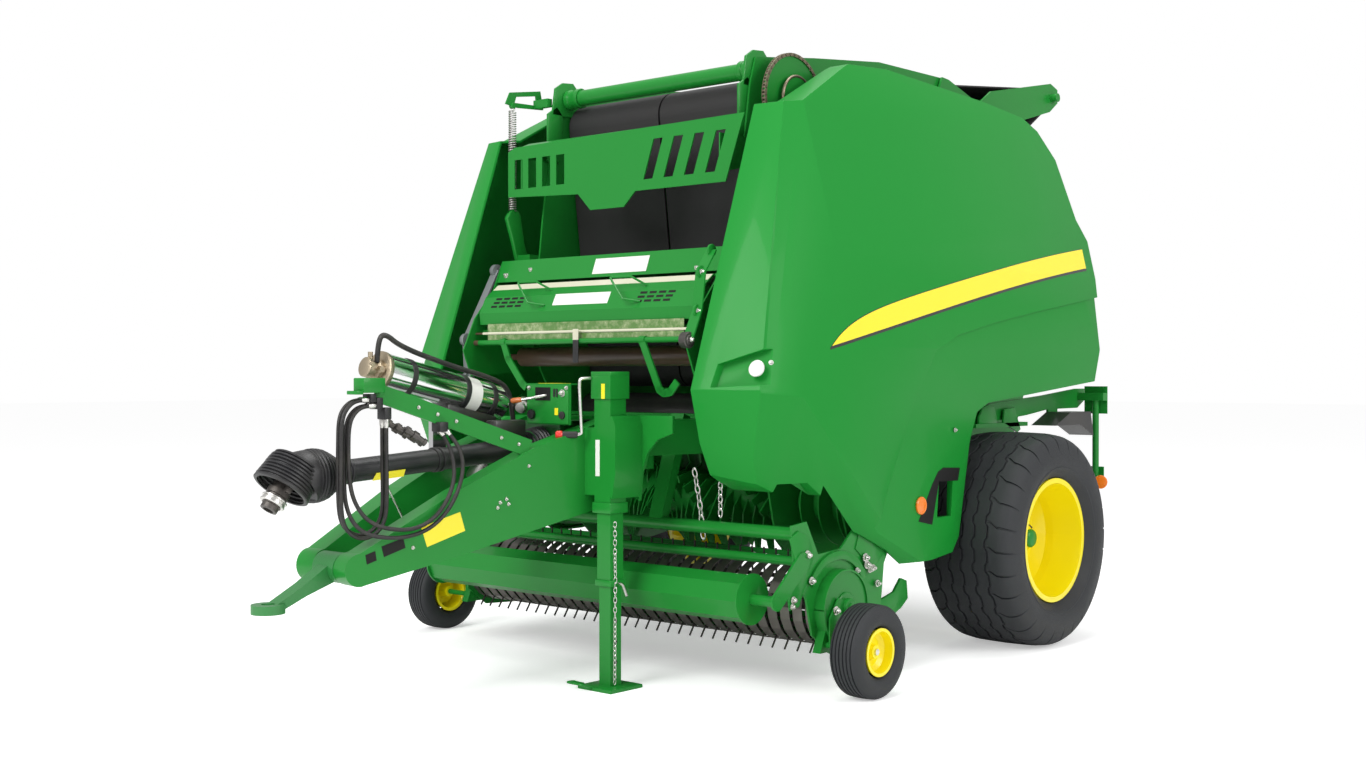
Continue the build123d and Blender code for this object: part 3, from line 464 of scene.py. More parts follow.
# %% Ribbed gauge tyres
gauge_radius = 190
gauge_shoulder = 60
gauge_drop = 3.5
gauge_groove = 5
gauge_columns = []
for groove in (-44, -26, -9, 9, 26, 44):
    for offset, depth in ((-3.4, 0), (-1.8, gauge_groove), (1.8, gauge_groove), (3.4, 0)):
        x = groove + offset
        gauge_columns.append((x, gauge_radius - (x / gauge_shoulder) ** 2 * gauge_drop - depth))
gauge_outer = [(54, 185), (61, 179), (66, 171), (70, 160), (72.5, 146), (71.5, 132), (68, 118),
               (62, 110), (52, 102), (44, 98)]
gauge_inner = [(30, 96), (56, 118), (58, 150), (40, 172), (0, 176), (-40, 172), (-58, 150),
               (-56, 118), (-30, 96)]
gauge_section = [(-x, r) for x, r in reversed(gauge_outer)] + gauge_columns + gauge_outer
gauge_section += gauge_inner
gauge_steps = 96
gauge_rows = [2 * math.pi * step / gauge_steps for step in range(gauge_steps)]


def rib(row, column, angle):
    x, radius = gauge_section[column]
    return x / 1000, radius / 1000, angle


for side, name in ((1, "left"), (-1, "right")):
    tyre = ring_mesh("gauge_tread_" + name, gauge_rows, gauge_section, rib)
    put_tyre(tyre, "gauge_tyre_" + name, gauge_centre, side)
print("gauge tyre faces", len(tyre.data.polygons))

# %% [markdown]
# Plates, bars and turned pieces make up nearly all of a farm machine, so a few small makers
# serve all the details. They take the layout's millimetres. Most start from a primitive and
# shape it with edit mode's own operators: a plate is extruded, a turned piece is spun. A bent
# wire starts from a curve instead.

# %% Makers of plates, bars and turned pieces
axis_ways = {"x": Vector((1, 0, 0)), "y": Vector((0, 1, 0)), "z": Vector((0, 0, 1))}


def slab(points, axis, low, high):
    """A plate: its outline lies across one axis and is extruded along it."""
    deselect()
    bpy.ops.mesh.primitive_circle_add(vertices=len(points), radius=1, fill_type="NGON")
    piece = bpy.context.object
    for vertex, (first, second) in zip(piece.data.vertices, points):
        spots = {"x": (low, first, second), "y": (first, low, second), "z": (first, second, low)}
        vertex.co = at(*spots[axis])
    bpy.ops.object.mode_set(mode="EDIT")
    bpy.ops.mesh.select_all(action="SELECT")
    way = axis_ways[axis] * (high - low) / 1000
    bpy.ops.mesh.extrude_region_move(TRANSFORM_OT_translate={"value": way})
    settle()
    return piece


def bar(start, end, width, height, up=(0, 0, 1)):
    """A square bar from one point to another."""
    deselect()
    bpy.ops.mesh.primitive_cube_add(size=1)
    piece = bpy.context.object
    first, last = at(*start), at(*end)
    along = (last - first).normalized()
    across = along.cross(Vector(up)).normalized()
    rise = across.cross(along)
    for vertex in piece.data.vertices:
        u, v, w = vertex.co
        middle = first.lerp(last, w + 0.5)
        vertex.co = middle + across * (u * width / 1000) + rise * (v * height / 1000)
    bpy.ops.object.mode_set(mode="EDIT")
    settle()
    return piece


def block(x0, x1, y0, y1, z0, z1):
    """An upright bar between two corners."""
    middle = ((x0 + x1) / 2, (y0 + y1) / 2)
    return bar((*middle, z0), (*middle, z1), x1 - x0, y1 - y0, up=(0, 1, 0))


def turned(start, way, section, sides=32):
    """A section of (distance, radius) pairs, spun about a line."""
    deselect()
    bpy.ops.mesh.primitive_circle_add(vertices=len(section), radius=1, fill_type="NOTHING")
    piece = bpy.context.object
    for vertex, (distance, radius) in zip(piece.data.vertices, section):
        vertex.co = (radius / 1000, 0, distance / 1000)
    bpy.ops.object.mode_set(mode="EDIT")
    bpy.ops.mesh.select_all(action="SELECT")
    bpy.ops.mesh.spin(steps=sides, angle=2 * math.pi, center=(0, 0, 0), axis=(0, 0, 1))
    bpy.ops.mesh.select_all(action="SELECT")
    bpy.ops.mesh.remove_doubles(threshold=0.00002)
    bpy.ops.mesh.delete_loose()
    settle()
    turn = Vector(way).to_track_quat("Z", "Y").to_matrix().to_4x4()
    piece.data.transform(Matrix.Translation(at(*start)) @ turn)
    return piece


def rod(start, end, radius, sides=20, edge=0.8):
    """A round bar with a small chamfer at both ends."""
    way = at(*end) - at(*start)
    length = way.length * 1000
    return turned(start, way, [(0, 0), (0, radius - edge), (edge, radius), (length - edge, radius),
                               (length, radius - edge), (length, 0)], sides)


def wire(points, radius):
    """A bent round rod that follows corner points smoothly, as a mesh."""
    curve = bpy.data.curves.new("wire", "CURVE")
    curve.dimensions = "3D"
    curve.bevel_depth = radius / 1000
    curve.bevel_resolution = 3
    curve.use_fill_caps = True
    line = curve.splines.new("NURBS")
    line.points.add(len(points) - 1)
    for point, spot in zip(line.points, points):
        point.co = (*at(*spot), 1)
    line.order_u = 3
    line.use_endpoint_u = True
    line.resolution_u = 8
    piece = bpy.data.objects.new("wire", curve)
    bpy.context.scene.collection.objects.link(piece)
    activate(piece)
    bpy.ops.object.convert(target="MESH")
    return bpy.context.object


def apply_modifiers(piece):
    activate(piece)
    for modifier in list(piece.modifiers):
        bpy.ops.object.modifier_apply(modifier=modifier.name)


def soften(piece, width, segments=2, angle=35.0):
    """Round the edges that are sharper than an angle."""
    bevel = piece.modifiers.new("soft edges", "BEVEL")
    bevel.width = width / 1000
    bevel.segments = segments
    bevel.limit_method = "ANGLE"
    bevel.angle_limit = math.radians(angle)
    apply_modifiers(piece)
    return piece


def combine(piece, tool, how):
    """Cut a tool out of a piece, join it on, or keep what both share."""
    change = piece.modifiers.new("combine", "BOOLEAN")
    change.operation = how
    change.solver = "EXACT"
    change.object = tool
    apply_modifiers(piece)
    bpy.data.objects.remove(tool)
    return piece


panel_heart = (950, -900, 1500)


def trim(piece, corners, inset=0.0, keep_heart=True):
    """Cut a piece by the plane of three points, moved towards the panel's heart by inset."""
    first, second, third = [at(*corner) for corner in corners]
    normal = (second - first).cross(third - first).normalized()
    if normal.dot(at(*panel_heart) - first) > 0:
        normal = -normal
    first = first - normal * (inset / 1000)
    activate(piece)
    bpy.ops.object.mode_set(mode="EDIT")
    bpy.ops.mesh.select_all(action="SELECT")
    bpy.ops.mesh.bisect(plane_co=first, plane_no=normal, use_fill=True,
                        clear_outer=keep_heart, clear_inner=not keep_heart)
    settle()
    return piece


def own_copy(piece, turn=None):
    """A copy with its own mesh, which may be turned, scaled or mirrored."""
    copy = piece.copy()
    copy.data = piece.data.copy()
    bpy.context.scene.collection.objects.link(copy)
    if turn is not None:
        copy.data.transform(turn)
        if turn.determinant() < 0:
            copy.data.flip_normals()
    return copy


mirror = Matrix.Diagonal((-1, 1, 1, 1))


def joined(pieces):
    activate(pieces[0])
    for piece in pieces:
        piece.select_set(True)
    if len(pieces) > 1:
        bpy.ops.object.join()
    return bpy.context.object


def done(piece, name, material, body, smooth=smooth_below):
    """Name a finished piece, give it its material and the body that carries it."""
    piece.name = name
    piece.data.name = name
    activate(piece)
    bpy.ops.object.shade_smooth_by_angle(angle=math.radians(smooth))
    piece.data.materials.clear()
    piece.data.materials.append(material)
    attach(piece, body)
    print(name, len(piece.data.polygons), "faces, on", body)
    return piece


def both_sides(piece, name, material, body="chassis", smooth=smooth_below):
    """A piece and its mirrored copy. Each of the panels is a body of its own."""
    other = own_copy(piece, mirror)
    left, right = ("panel_left", "panel_right") if body == "panel" else (body, body)
    done(piece, name + "_left", material, left, smooth)
    done(other, name + "_right", material, right, smooth)
    return piece, other


# %% [markdown]
# Hexagon bolts hold nearly every plate. One is modelled, with its washer and thread. Its copies
# are turned to their face and joined into one piece for each group, which keeps the list short.

# %% Bolts
deselect()
bpy.ops.mesh.primitive_cylinder_add(vertices=6, radius=0.0095, depth=0.0075, location=(0, 0, 0))
bolt_head = bpy.context.object
bolt_head.data.transform(Matrix.Translation((0, 0, 0.0062)))
bolt_head.matrix_world = Matrix.Identity(4)
soften(bolt_head, 0.8, 2, 50)
bolt_washer = turned((0, -shift * 1000, 0), (0, 0, 1),
                     [(-1, 0), (-1, 12.4), (1.6, 13), (2.4, 12.2), (2.4, 0)], 24)
bolt_thread = turned((0, -shift * 1000, 0), (0, 0, 1),
                     [(8, 0), (8, 5.6), (14, 5.6), (15.5, 4.4), (15.5, 0)], 16)
bolt = joined([bolt_head, bolt_washer, bolt_thread])
bolt.name = "bolt"


def bolts(name, body, places, material):
    """Copies of the bolt, each at a (place, way, scale)."""
    copies = []
    for place, way, scale in places:
        turn = Vector(way).to_track_quat("Z", "Y").to_matrix().to_4x4()
        grown = Matrix.Diagonal((scale, scale, scale, 1))
        copies.append(own_copy(bolt, Matrix.Translation(at(*place)) @ turn @ grown))
    return done(joined(copies), name, material, body, 40)


print("bolt faces", len(bolt.data.polygons))

# %% [markdown]
# The side panels are deep hoods of folded sheet. They could be drawn face by face, but then a
# changed corner would bend its neighbours. So a slab with the side's outline is cut by the
# planes of its faces, recessed below the crease, made hollow and opened below. Room is cut for
# the pickup's cheek, so that the lifted pickup clears the panel. Last, the pocket with the front
# reflector is sunk into the front strip, and the window slot is cut through the recessed face.

# %% Side panels
panel_side = [
    (-2090, 1240), (-1652, 2430), (-1500, 2450), (-1130, 2650), (-1090, 2668), (-780, 2690),
    (60, 2650), (430, 2615), (560, 2560), (690, 2420), (780, 2110), (860, 2000), (860, 1430),
    (800, 1262), (-280, 1166), (-385, 1125), (-450, 990), (-545, 560), (-600, 490), (-775, 470),
    (-980, 468), (-1100, 540), (-1860, 862), (-1938, 905), (-2005, 1010)]
low_side = [
    (1000, 1724), (731, 1684), (179, 1606), (-208, 1547), (-567, 1479), (-762, 1409),
    (-941, 1188), (-1059, 973), (-1173, 764), (-1290, 500), (-1290, 300), (1000, 300)]
panel_out = 1140
panel_in = 790
lean_start = 1420
lean = 45 / 380
strip_plane = [(800, -1959, 1459), (800, -1641, 2396), (1053, -1899, 1413)]
panel_planes = [
    [(1140, 0, 1420), (1140, 100, 1420), (1095, 0, 1800)],
    [(1095, 0, 1800), (1095, 100, 1800), (950, 0, 2430)],
    [(950, 0, 2430), (950, 100, 2430), (880, 0, 2700)],
    strip_plane,
    [(800, -2039, 1258), (800, -1977, 1020), (1083, -1950, 1240)],
    [(800, -1977, 1020), (1006, -1907, 977), (800, -1930, 925)],
    [(1053, -1899, 1413), (933, -1555, 2415), (1130, -1641, 1400)],
    [(1083, -1950, 1240), (1006, -1907, 977), (1130, -1688, 1120)],
    [(1085, -1860, 862), (1085, -980, 468), (1140, -1829, 930)],
]
form = slab(panel_side, "x", panel_in, panel_out)
for corners in panel_planes:
    trim(form, corners)
recess_depth = 18
beyond = 60
recess = slab(low_side, "x", panel_out - recess_depth, panel_out + beyond)
activate(recess)
bpy.ops.object.mode_set(mode="EDIT")
bpy.ops.mesh.select_all(action="SELECT")
bpy.ops.mesh.bisect(plane_co=at(0, 0, lean_start), plane_no=(0, 0, 1))
settle()
for vertex in recess.data.vertices:
    vertex.co.x -= max(vertex.co.z - lean_start / 1000, 0) * lean
combine(form, recess, "DIFFERENCE")
outer_form = own_copy(form)
activate(form)
bpy.ops.object.mode_set(mode="EDIT")
bpy.ops.mesh.select_all(action="DESELECT")
bpy.ops.object.mode_set(mode="OBJECT")
for face in form.data.polygons:
    face.select = face.center.x < (panel_in + 0.5) / 1000
bpy.ops.object.mode_set(mode="EDIT")
bpy.ops.mesh.delete(type="FACE")
settle()
panel_wall = 12
thick = form.modifiers.new("wall", "SOLIDIFY")
thick.thickness = panel_wall / 1000
thick.offset = -1
thick.use_even_offset = True
apply_modifiers(form)
inside = panel_in - 10
opening = [(-1540, 1150), (-1540, 400), (785, 400), (785, 1400)]
combine(form, slab(opening, "x", inside, 1083), "DIFFERENCE")
cheek_room = [(-1772, 600), (-1772, 815), (-1760, 856), (-1620, 856), (-1539, 800), (-1539, 600)]
combine(form, slab(cheek_room, "x", inside, 1094), "DIFFERENCE")
pocket_outline = [(862, 1240), (874, 1348), (1052, 1408), (1260, 1440), (1260, 1262)]
room_outline = [(870, 1248), (881, 1341), (1053, 1399), (1270, 1431), (1270, 1271)]
pocket_depth = 38
pocket_wall = slab(pocket_outline, "y", -2200, -1700)
trim(pocket_wall, strip_plane, pocket_depth + 8, keep_heart=False)
combine(pocket_wall, outer_form, "INTERSECT")
combine(form, pocket_wall, "UNION")
pocket_room = slab(room_outline, "y", -2200, -1700)
trim(pocket_room, strip_plane, pocket_depth, keep_heart=False)
combine(form, pocket_room, "DIFFERENCE")
window_outline = [(-715, 818), (-597, 817), (-614, 656), (-731, 655)]
window = slab(window_outline, "x", panel_out - beyond, panel_out + 5)
combine(form, window, "DIFFERENCE")
soften(form, 3.0, 2, 22)
panels = both_sides(form, "panel", panel_green, "panel", 40)
for panel, name in zip(panels, ("left", "right")):
    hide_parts("side_panel_" + name)
edge_uses = Counter(key for face in form.data.polygons for key in face.edge_keys)
print("panel faces", len(form.data.polygons), "open edges",
      sum(1 for uses in edge_uses.values() if uses == 1))

# %% [markdown]
# The panels' hinge lugs and pins belong to the replaced nodes, so they are made again. Then come
# the reflectors, the blank labels and the bolts. A label could be painted on with nodes, but a
# film about 1 mm thick keeps a sharp edge and needs no picture.

# %% Panel hinges, reflectors and labels
label_white = finish("label white", (0.85, 0.84, 0.80), 0.35, 0.02, 900, 2, 0.05, coat=0.4)
# One black film for print on labels, and for painted shade in the lid's vent slots and the jack
# leg's pin openings.
label_and_shade_black = finish("label and shade black", (0.010, 0.010, 0.010), 0.5, 0.02, 900, 2, 0.03,
                     specular=0.2)
label_yellow = finish("label yellow", (0.93, 0.80, 0.01), 0.35, 0.02, 900, 2, 0.05, coat=0.4)
cream = finish("cream edge", (0.70, 0.68, 0.52), 0.35, 0.05, 600, 3, 0.15, coat=0.3)
lug_pieces = []
hinge_x = 795
hinge_z = 2610
for y, roof in ((-700, 2676), (0, 2642)):
    lug_pieces.append(rod((hinge_x, y - 45, hinge_z), (hinge_x, y + 45, hinge_z), 7))
    for y0 in (y - 45, y + 37):
        lug_pieces.append(block(hinge_x - 5, hinge_x + 25, y0, y0 + 8, hinge_z, roof))
both_sides(joined(lug_pieces), "panel_hinge", green, "panel")

pocket_mirror = turned((1040, -1921, 1322), (0.12, -0.94, 0.32), [
    (0, 0), (0, 33), (5, 35), (11, 34), (13, 31), (13, 29), (11, 27), (13, 12), (13.5, 0)], 40)
both_sides(pocket_mirror, "front_reflector", white_lens, "panel")
side_mirror = turned((1121, -869, 719), (1, 0, 0), [
    (0, 0), (0, 38), (5, 40), (10, 39), (12, 36), (12, 33), (10, 31), (12, 15), (12.5, 0)], 40)
both_sides(side_mirror, "side_reflector", orange_lens, "panel")
arch = [(-885, 649), (-772, 627), (-745, 720), (-715, 818), (-554, 814), (-537, 872), (-681, 879),
        (-725, 862), (-775, 805)]
recess_face = panel_out - recess_depth
label_film = 0.8
both_sides(slab(arch, "x", recess_face, recess_face + label_film), "window_label", label_and_shade_black,
           "panel")
panel_bolts = [
    # place, way, scale
    ((1128, -589, 1046), (1, 0, 0), 0.8),
    ((1101, -1911, 1347), (0.5, -0.8, 0.3), 0.8),
]
for side, name in ((1, "left"), (-1, "right")):
    places = [((side * x, y, z), (side * a, b, c), size)
              for (x, y, z), (a, b, c), size in panel_bolts]
    bolts("panel_bolts_" + name, "panel_" + name, places, zinc)

# %% [markdown]
# The drive shaft's black boots are ribbed bells of soft plastic. One sits over the rear joint.
# The front one covers the front joint and turns down with the yoke at the shaft's free end. Ribs
# could be a pattern in the bump, but their outline shows against the floor, so each is turned.

# %% Shaft boots and yoke
shaft_way = Vector((0, -982.6, -60)).normalized()
boot_wall = 10


def ribbed(start, way, rings):
    """A bell of steps: each ring is a distance and a radius, with a groove before the next."""
    outside = []
    for distance, radius in rings:
        outside += [(distance, radius - 5), (distance + 3, radius), (distance + 9, radius + 1),
                    (distance + 12, radius - 4)]
    inner = [(distance, radius - boot_wall) for distance, radius in reversed(outside)]
    return turned(start, way, outside + inner, 48)


boot_back = ribbed((0, -2112, 993), shaft_way, [(0, 84), (15, 84), (30, 82), (45, 79), (60, 74),
                                               (75, 68), (90, 62), (105, 56), (118, 52)])
boot_rear = ribbed((0, -3168, 929), shaft_way, [
    (0, 56), (14, 63), (28, 72), (42, 81), (56, 89), (70, 96), (84, 100), (98, 102), (112, 102),
    (126, 100)])
boot_ball = turned((0, -3322, 921), (0, -0.75, -0.66), [
    (-98, 0), (-96, 22), (-85, 50), (-66, 74), (-40, 91), (-10, 99), (20, 99), (40, 96),
    (40, 0)], 48)
yoke_way = Vector((0, -0.6, -0.8))
yoke_joint = (0, -3340, 985)
boot_front = ribbed(yoke_joint, yoke_way, [
    (12, 92), (26, 98), (40, 101), (54, 103), (68, 104), (82, 106), (96, 108), (110, 110),
    (124, 111)])
boots = done(joined([boot_back, boot_rear, boot_ball, boot_front]), "shaft_boots", plastic,
             "chassis", 35)
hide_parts("shaft_cones")
yoke_start = Vector(yoke_joint) + yoke_way * 110
yoke_pieces = [turned(yoke_start, yoke_way, [
    (-40, 0), (-40, 30), (30, 34), (32, 44), (52, 44), (54, 38), (92, 37), (94, 33), (112, 33),
    (114, 20), (60, 18), (60, 0)], 40)]
for ear_x in (38, -38):
    ear = Vector((ear_x, 0, 0))
    ear_bar = bar(yoke_start - yoke_way * 60 + ear, yoke_start + yoke_way * 36 + ear, 20, 46,
                  up=(1, 0, 0))
    yoke_pieces.append(soften(ear_bar, 5))
yoke = joined(yoke_pieces)
collar = turned(yoke_start + yoke_way * 62, yoke_way, [
    (0, 36), (0, 46), (3, 50), (8, 50), (10, 45), (18, 45), (20, 49), (25, 49), (28, 45),
    (28, 36)], 40)
done(collar, "yoke_collar", zinc, "chassis")
done(yoke, "shaft_yoke", dark_steel, "chassis")
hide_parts("shaft_cones")
guard_rings = joined([
    turned(Vector((0, -2247.4, 985)) + shaft_way * distance, shaft_way,
           [(0, 44), (0, 48.5), (3, 50.5), (12, 50.5), (15, 48.5), (15, 44)], 40)
    for distance in (26, 420, 446, 868)])
done(guard_rings, "shaft_guard_rings", plastic, "chassis")

# %% [markdown]
# Four hydraulic hoses hang in loops from their bracket. Each one leaves its clamp forwards,
# falls under its own weight and comes back up to the bracket or the couplers. A mesh tube would
# do, but a curve with few points stays smooth at every bend, and its length can be measured.

# %% Hoses
hose_routes = {
    "hose_narrow_inner": (1.13, [
        (126, -3136, 1206), (126, -3185, 1206), (126, -3228, 1182), (126, -3254, 1138),
        (126, -3257, 1042), (126, -3258, 868), (126, -3252, 772), (125, -3225, 726),
        (124, -3178, 699), (123, -3124, 699), (122, -3077, 726), (121, -3050, 772),
        (120, -3047, 868), (120, -3050, 1020), (120, -3050, 1130)]),
    "hose_narrow_outer": (1.16, [
        (146, -3136, 1206), (146, -3186, 1206), (147, -3229, 1181), (147, -3255, 1138),
        (147, -3259, 1040), (147, -3261, 866), (147, -3256, 764), (146, -3228, 716),
        (145, -3180, 688), (144, -3124, 688), (143, -3076, 716), (142, -3048, 764),
        (141, -3044, 862), (140, -3046, 1018), (140, -3046, 1130)]),
    "hose_wide_outer": (1.31, [
        (128, -3106, 1184), (128, -3155, 1184), (128, -3198, 1160), (128, -3224, 1116),
        (128, -3230, 1022), (130, -3234, 890), (138, -3232, 812), (162, -3214, 744),
        (192, -3168, 702), (216, -3060, 684), (220, -2950, 694), (226, -2866, 731),
        (234, -2802, 797), (242, -2763, 882), (240, -2750, 960), (226, -2762, 1020),
        (204, -2782, 1062), (188, -2800, 1090)]),
    "hose_wide_inner": (1.21, [
        (148, -3106, 1184), (148, -3155, 1184), (148, -3198, 1160), (148, -3224, 1116),
        (148, -3228, 1022), (150, -3224, 900), (158, -3208, 826), (178, -3172, 762),
        (204, -3112, 726), (222, -3010, 712), (224, -2930, 726), (226, -2866, 762),
        (226, -2814, 822), (224, -2784, 886), (216, -2776, 950), (204, -2784, 1008),
        (186, -2798, 1056), (166, -2812, 1088)]),
}
hose_thick = 0.016
for name, (length, route) in hose_routes.items():
    curve = bpy.data.curves.new(name, "CURVE")
    curve.dimensions = "3D"
    curve.bevel_depth = hose_thick / 2
    curve.bevel_resolution = 5
    curve.use_fill_caps = True
    curve.resolution_u = 12
    line = curve.splines.new("NURBS")
    line.points.add(len(route) - 1)
    for point, spot in zip(line.points, route):
        point.co = (*at(*spot), 1)
    line.order_u = 3
    line.use_endpoint_u = True
    hose = bpy.data.objects.new(name, curve)
    bpy.context.scene.collection.objects.link(hose)
    hose.data.materials.append(hose_rubber)
    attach(hose, "chassis")

print("hose lengths", [length for length, route in hose_routes.values()])
clamp_pieces = [
    block(112, 162, -3136, -3106, 1196, 1228),
    block(112, 162, -3106, -3076, 1170, 1214),
    block(106, 154, -3064, -3030, 1130, 1176),
    block(150, 204, -2836, -2794, 1078, 1116),
]
for piece in clamp_pieces:
    soften(piece, 4, 2)
done(joined(clamp_pieces), "hose_clamps", plastic, "chassis")
cap = joined([soften(block(104, 168, -3172, -3070, 1232, 1288), 4),
              soften(block(104, 168, -3202, -3172, 1226, 1240), 2)])
done(cap, "bracket_cap", green, "chassis")
ferrule_section = [(0, 0), (0, 10), (3, 11), (26, 11), (28, 10), (29, 9.4), (34, 9.2), (36, 8.3),
                   (36, 0)]
ferrules = []
for length, route in hose_routes.values():
    for end, near in ((route[0], route[1]), (route[-1], route[-2])):
        way = Vector(near) - Vector(end)
        ferrules.append(turned(Vector(end) - way.normalized() * 4, way, ferrule_section, 20))
done(joined(ferrules), "hose_ferrules", zinc, "chassis")

# %% [markdown]
# The net box gets what hangs on it: handles on the lid, black films of painted shade in the lid's
# vent slots, blank labels, the rods, a streaky sheet in front of the roller, two guide hooks and
# the arms at both ends. What lies on the sloping lid is laid out by shares of its face, so that
# it follows the lid's slope.

# %% Details of the net box and its lid
sheet_look = finish("streaky sheet", (0.10, 0.22, 0.05), 0.22, 0.10, 300, 30, 0.8,
                    (0.45, 0.50, 0.28), 0.1, coat=0.5)
grip_red = finish("red grip", (0.80, 0.03, 0.02), 0.3, 0.05, 900, 4, 0.02, coat=0.5)
knob_orange = finish("orange knob", (0.55, 0.14, 0.03), 0.35, 0.08, 900, 4, 0.05, coat=0.3)


def face_patch(start, end, low, high, left, right, lift=0.8):
    """A thin film on a face that runs from start to end in (y, z), between two shares of it."""
    span = Vector(end) - Vector(start)
    normal = Vector((span.y, -span.x)).normalized()
    if normal.x > 0:
        normal = -normal
    first = Vector(start) + span * low
    last = Vector(start) + span * high
    return slab([first, last, last + normal * lift, first + normal * lift], "x", left, right)


lid_top = ((-1752, 1722), (-1830, 1660))
lid_front = ((-1830, 1660), (-1868, 1585))
strip = face_patch(*lid_top, 0.02, 0.42, -668, 668)
done(strip, "lid_strip", cream, "net_lid")
# The vent slots are black films of painted shade, where the openings would be dark inside.
vent_shade = []
for left in (-590, 330):
    for column in range(4):
        for row in range(3):
            x = left + column * 54 - row * 8
            low = 0.06 + row * 0.24
            vent_shade.append(face_patch(*lid_front, low, low + 0.13, x, x + 40, 0.6))
done(joined(vent_shade), "lid_vent_shade", label_and_shade_black, "net_lid")
done(face_patch(*lid_front, -0.02, 0.66, -195, 150), "lid_label", label_white, "net_lid")
box_face = ((-1703, 1836), (-1741, 1736))
done(face_patch(*box_face, 0.15, 0.85, -60, 270, 1.2), "box_label", label_white, "chassis")
handles = []
for x in (-420, 170):
    handles.append(wire([
        (x + 170, -1800, 1682), (x + 128, -1846, 1716), (x + 124, -1850, 1720),
        (x + 116, -1852, 1722), (x + 8, -1852, 1722), (x, -1852, 1722), (x + 2, -1856, 1716),
        (x + 108, -1900, 1630), (x + 114, -1902, 1626), (x + 122, -1896, 1622),
        (x + 176, -1856, 1612)], 5))
done(joined(handles), "lid_handles", green, "net_lid")
done(block(-610, 610, -1871, -1869.4, 1454, 1534), "net_sheet", sheet_look, "chassis")
strap_low = soften(block(-22, 12, -1896, -1893, 1352, 1452), 1)
done(strap_low, "strap", plastic, "chassis")
strap_top = block(-22, 12, -1896, -1893, 1452, 1500)
done(strap_top, "strap_top", cream, "chassis")
thin_sleeve = rod((-640, -1872, 1490), (640, -1872, 1490), 6.2)
done(thin_sleeve, "thin_rod_sleeve", cream, "chassis")
low_sleeve = rod((-660, -1878, 1447), (660, -1878, 1447), 12.4)
done(low_sleeve, "low_rod_sleeve", green, "chassis")

hook_pieces = []
for points in (((384, 1449), (486, 1236), (512, 1222), (548, 1226), (587, 1270)),
               ((-491, 1461), (-452, 1370), (-356, 1257), (-330, 1240))):
    for (x0, z0), (x1, z1) in zip(points, points[1:]):
        hook_pieces.append(bar((x0, -1886, z0), (x1, -1886, z1), 34, 9, up=(0, 1, 0)))
    for x, z in points[1:-1]:
        hook_pieces.append(rod((x, -1890.5, z), (x, -1881.5, z), 17, 24, 1))
for x in (384, -491):
    hook_pieces.append(rod((x - 18, -1878, 1447), (x + 18, -1878, 1447), 17))
done(joined(hook_pieces), "guide_hooks", green, "chassis")

grey_points = [(-1701, 1797), (-1890, 1462), (-1878, 1282)]
grey_pieces = []
for (y0, z0), (y1, z1) in zip(grey_points, grey_points[1:]):
    grey_pieces.append(bar((-742, y0, z0), (-742, y1, z1), 10, 44, up=(1, 0, 0)))
for y, z in grey_points:
    grey_pieces.append(turned((-752, y, z), (1, 0, 0), [
        (0, 0), (0, 11), (-6, 12), (-6, 27), (0, 30), (22, 30), (22, 0)], 32))
grey_paint = finish("grey paint", (0.30, 0.32, 0.33), 0.35, 0.08, 700, 5, 0.2,
                    (0.2, 0.2, 0.19), 0.1, metal=0.3, coat=0.3)
done(joined(grey_pieces), "tension_lever", grey_paint, "chassis")
right_arm = []
arm_points = [(-1835, 1812), (-1903, 1720), (-1925, 1560), (-1985, 1440)]
for (y0, z0), (y1, z1) in zip(arm_points, arm_points[1:]):
    right_arm.append(bar((730, y0, z0), (730, y1, z1), 8, 52, up=(1, 0, 0)))
for y, z in arm_points:
    right_arm.append(rod((725.5, y, z), (734.5, y, z), 26, 28, 1))
done(joined(right_arm), "net_arm", green, "chassis")
bearing = turned((735, -1985, 1440), (1, 0, 0), [
    (-30, 0), (-30, 30), (-26, 34), (4, 34), (8, 30), (8, 22), (12, 20), (12, 0)], 32)
done(bearing, "net_bearing", dark_steel, "chassis")
bolts("net_box_bolts", "chassis", [
    ((-640, -1728, 1768), (0, -0.93, 0.35), 1.0), ((600, -1722, 1780), (0, -0.93, 0.35), 1.0),
    ((-480, -1720, 1790), (0, -0.93, 0.35), 0.8), ((560, -1733, 1752), (0, -0.93, 0.35), 0.8),
    ((743, -1985, 1440), (1, 0, 0), 1.3), ((735, -1903, 1720), (1, 0, 0), 1.0),
    ((735, -1925, 1560), (1, 0, 0), 1.0), ((-762, -1701, 1797), (-1, 0, 0), 0.9)], zinc)

# %% [markdown]
# The belt spring hangs from a cut-out plate and pulls a bent lever. A tube with a striped bump
# would look solid, and light has to fall between the turns. So it is a real coil: a small circle
# is carried round and up by a Screw modifier.

# %% Belt spring
deselect()
bpy.ops.mesh.primitive_circle_add(vertices=8, radius=0.0034, rotation=(math.pi / 2, 0, 0))
coil = bpy.context.object
bpy.ops.object.transform_apply(rotation=True, location=False, scale=False)
coil.data.transform(Matrix.Translation((0.0165, 0, 0)))
coil_turns = 44
coil_length = 0.484
screw = coil.modifiers.new("coil", "SCREW")
screw.angle = 2 * math.pi
screw.screw_offset = coil_length / coil_turns
screw.iterations = coil_turns
screw.steps = 20
screw.render_steps = 20
apply_modifiers(coil)
coil.data.transform(Matrix.Translation(at(-712, -1622, 2088)))
done(coil, "spring_coil", steel, "chassis", 60)
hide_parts("belt_spring")
plate_outline = [(-1668, 2600), (-1640, 2658), (-1440, 2690), (-1420, 2600), (-1590, 2590)]
hole_outline = [(-1610, 2612), (-1600, 2642), (-1470, 2662), (-1462, 2616)]
plate = slab(plate_outline, "x", -716, -708)
combine(plate, slab(hole_outline, "x", -720, -700), "DIFFERENCE")
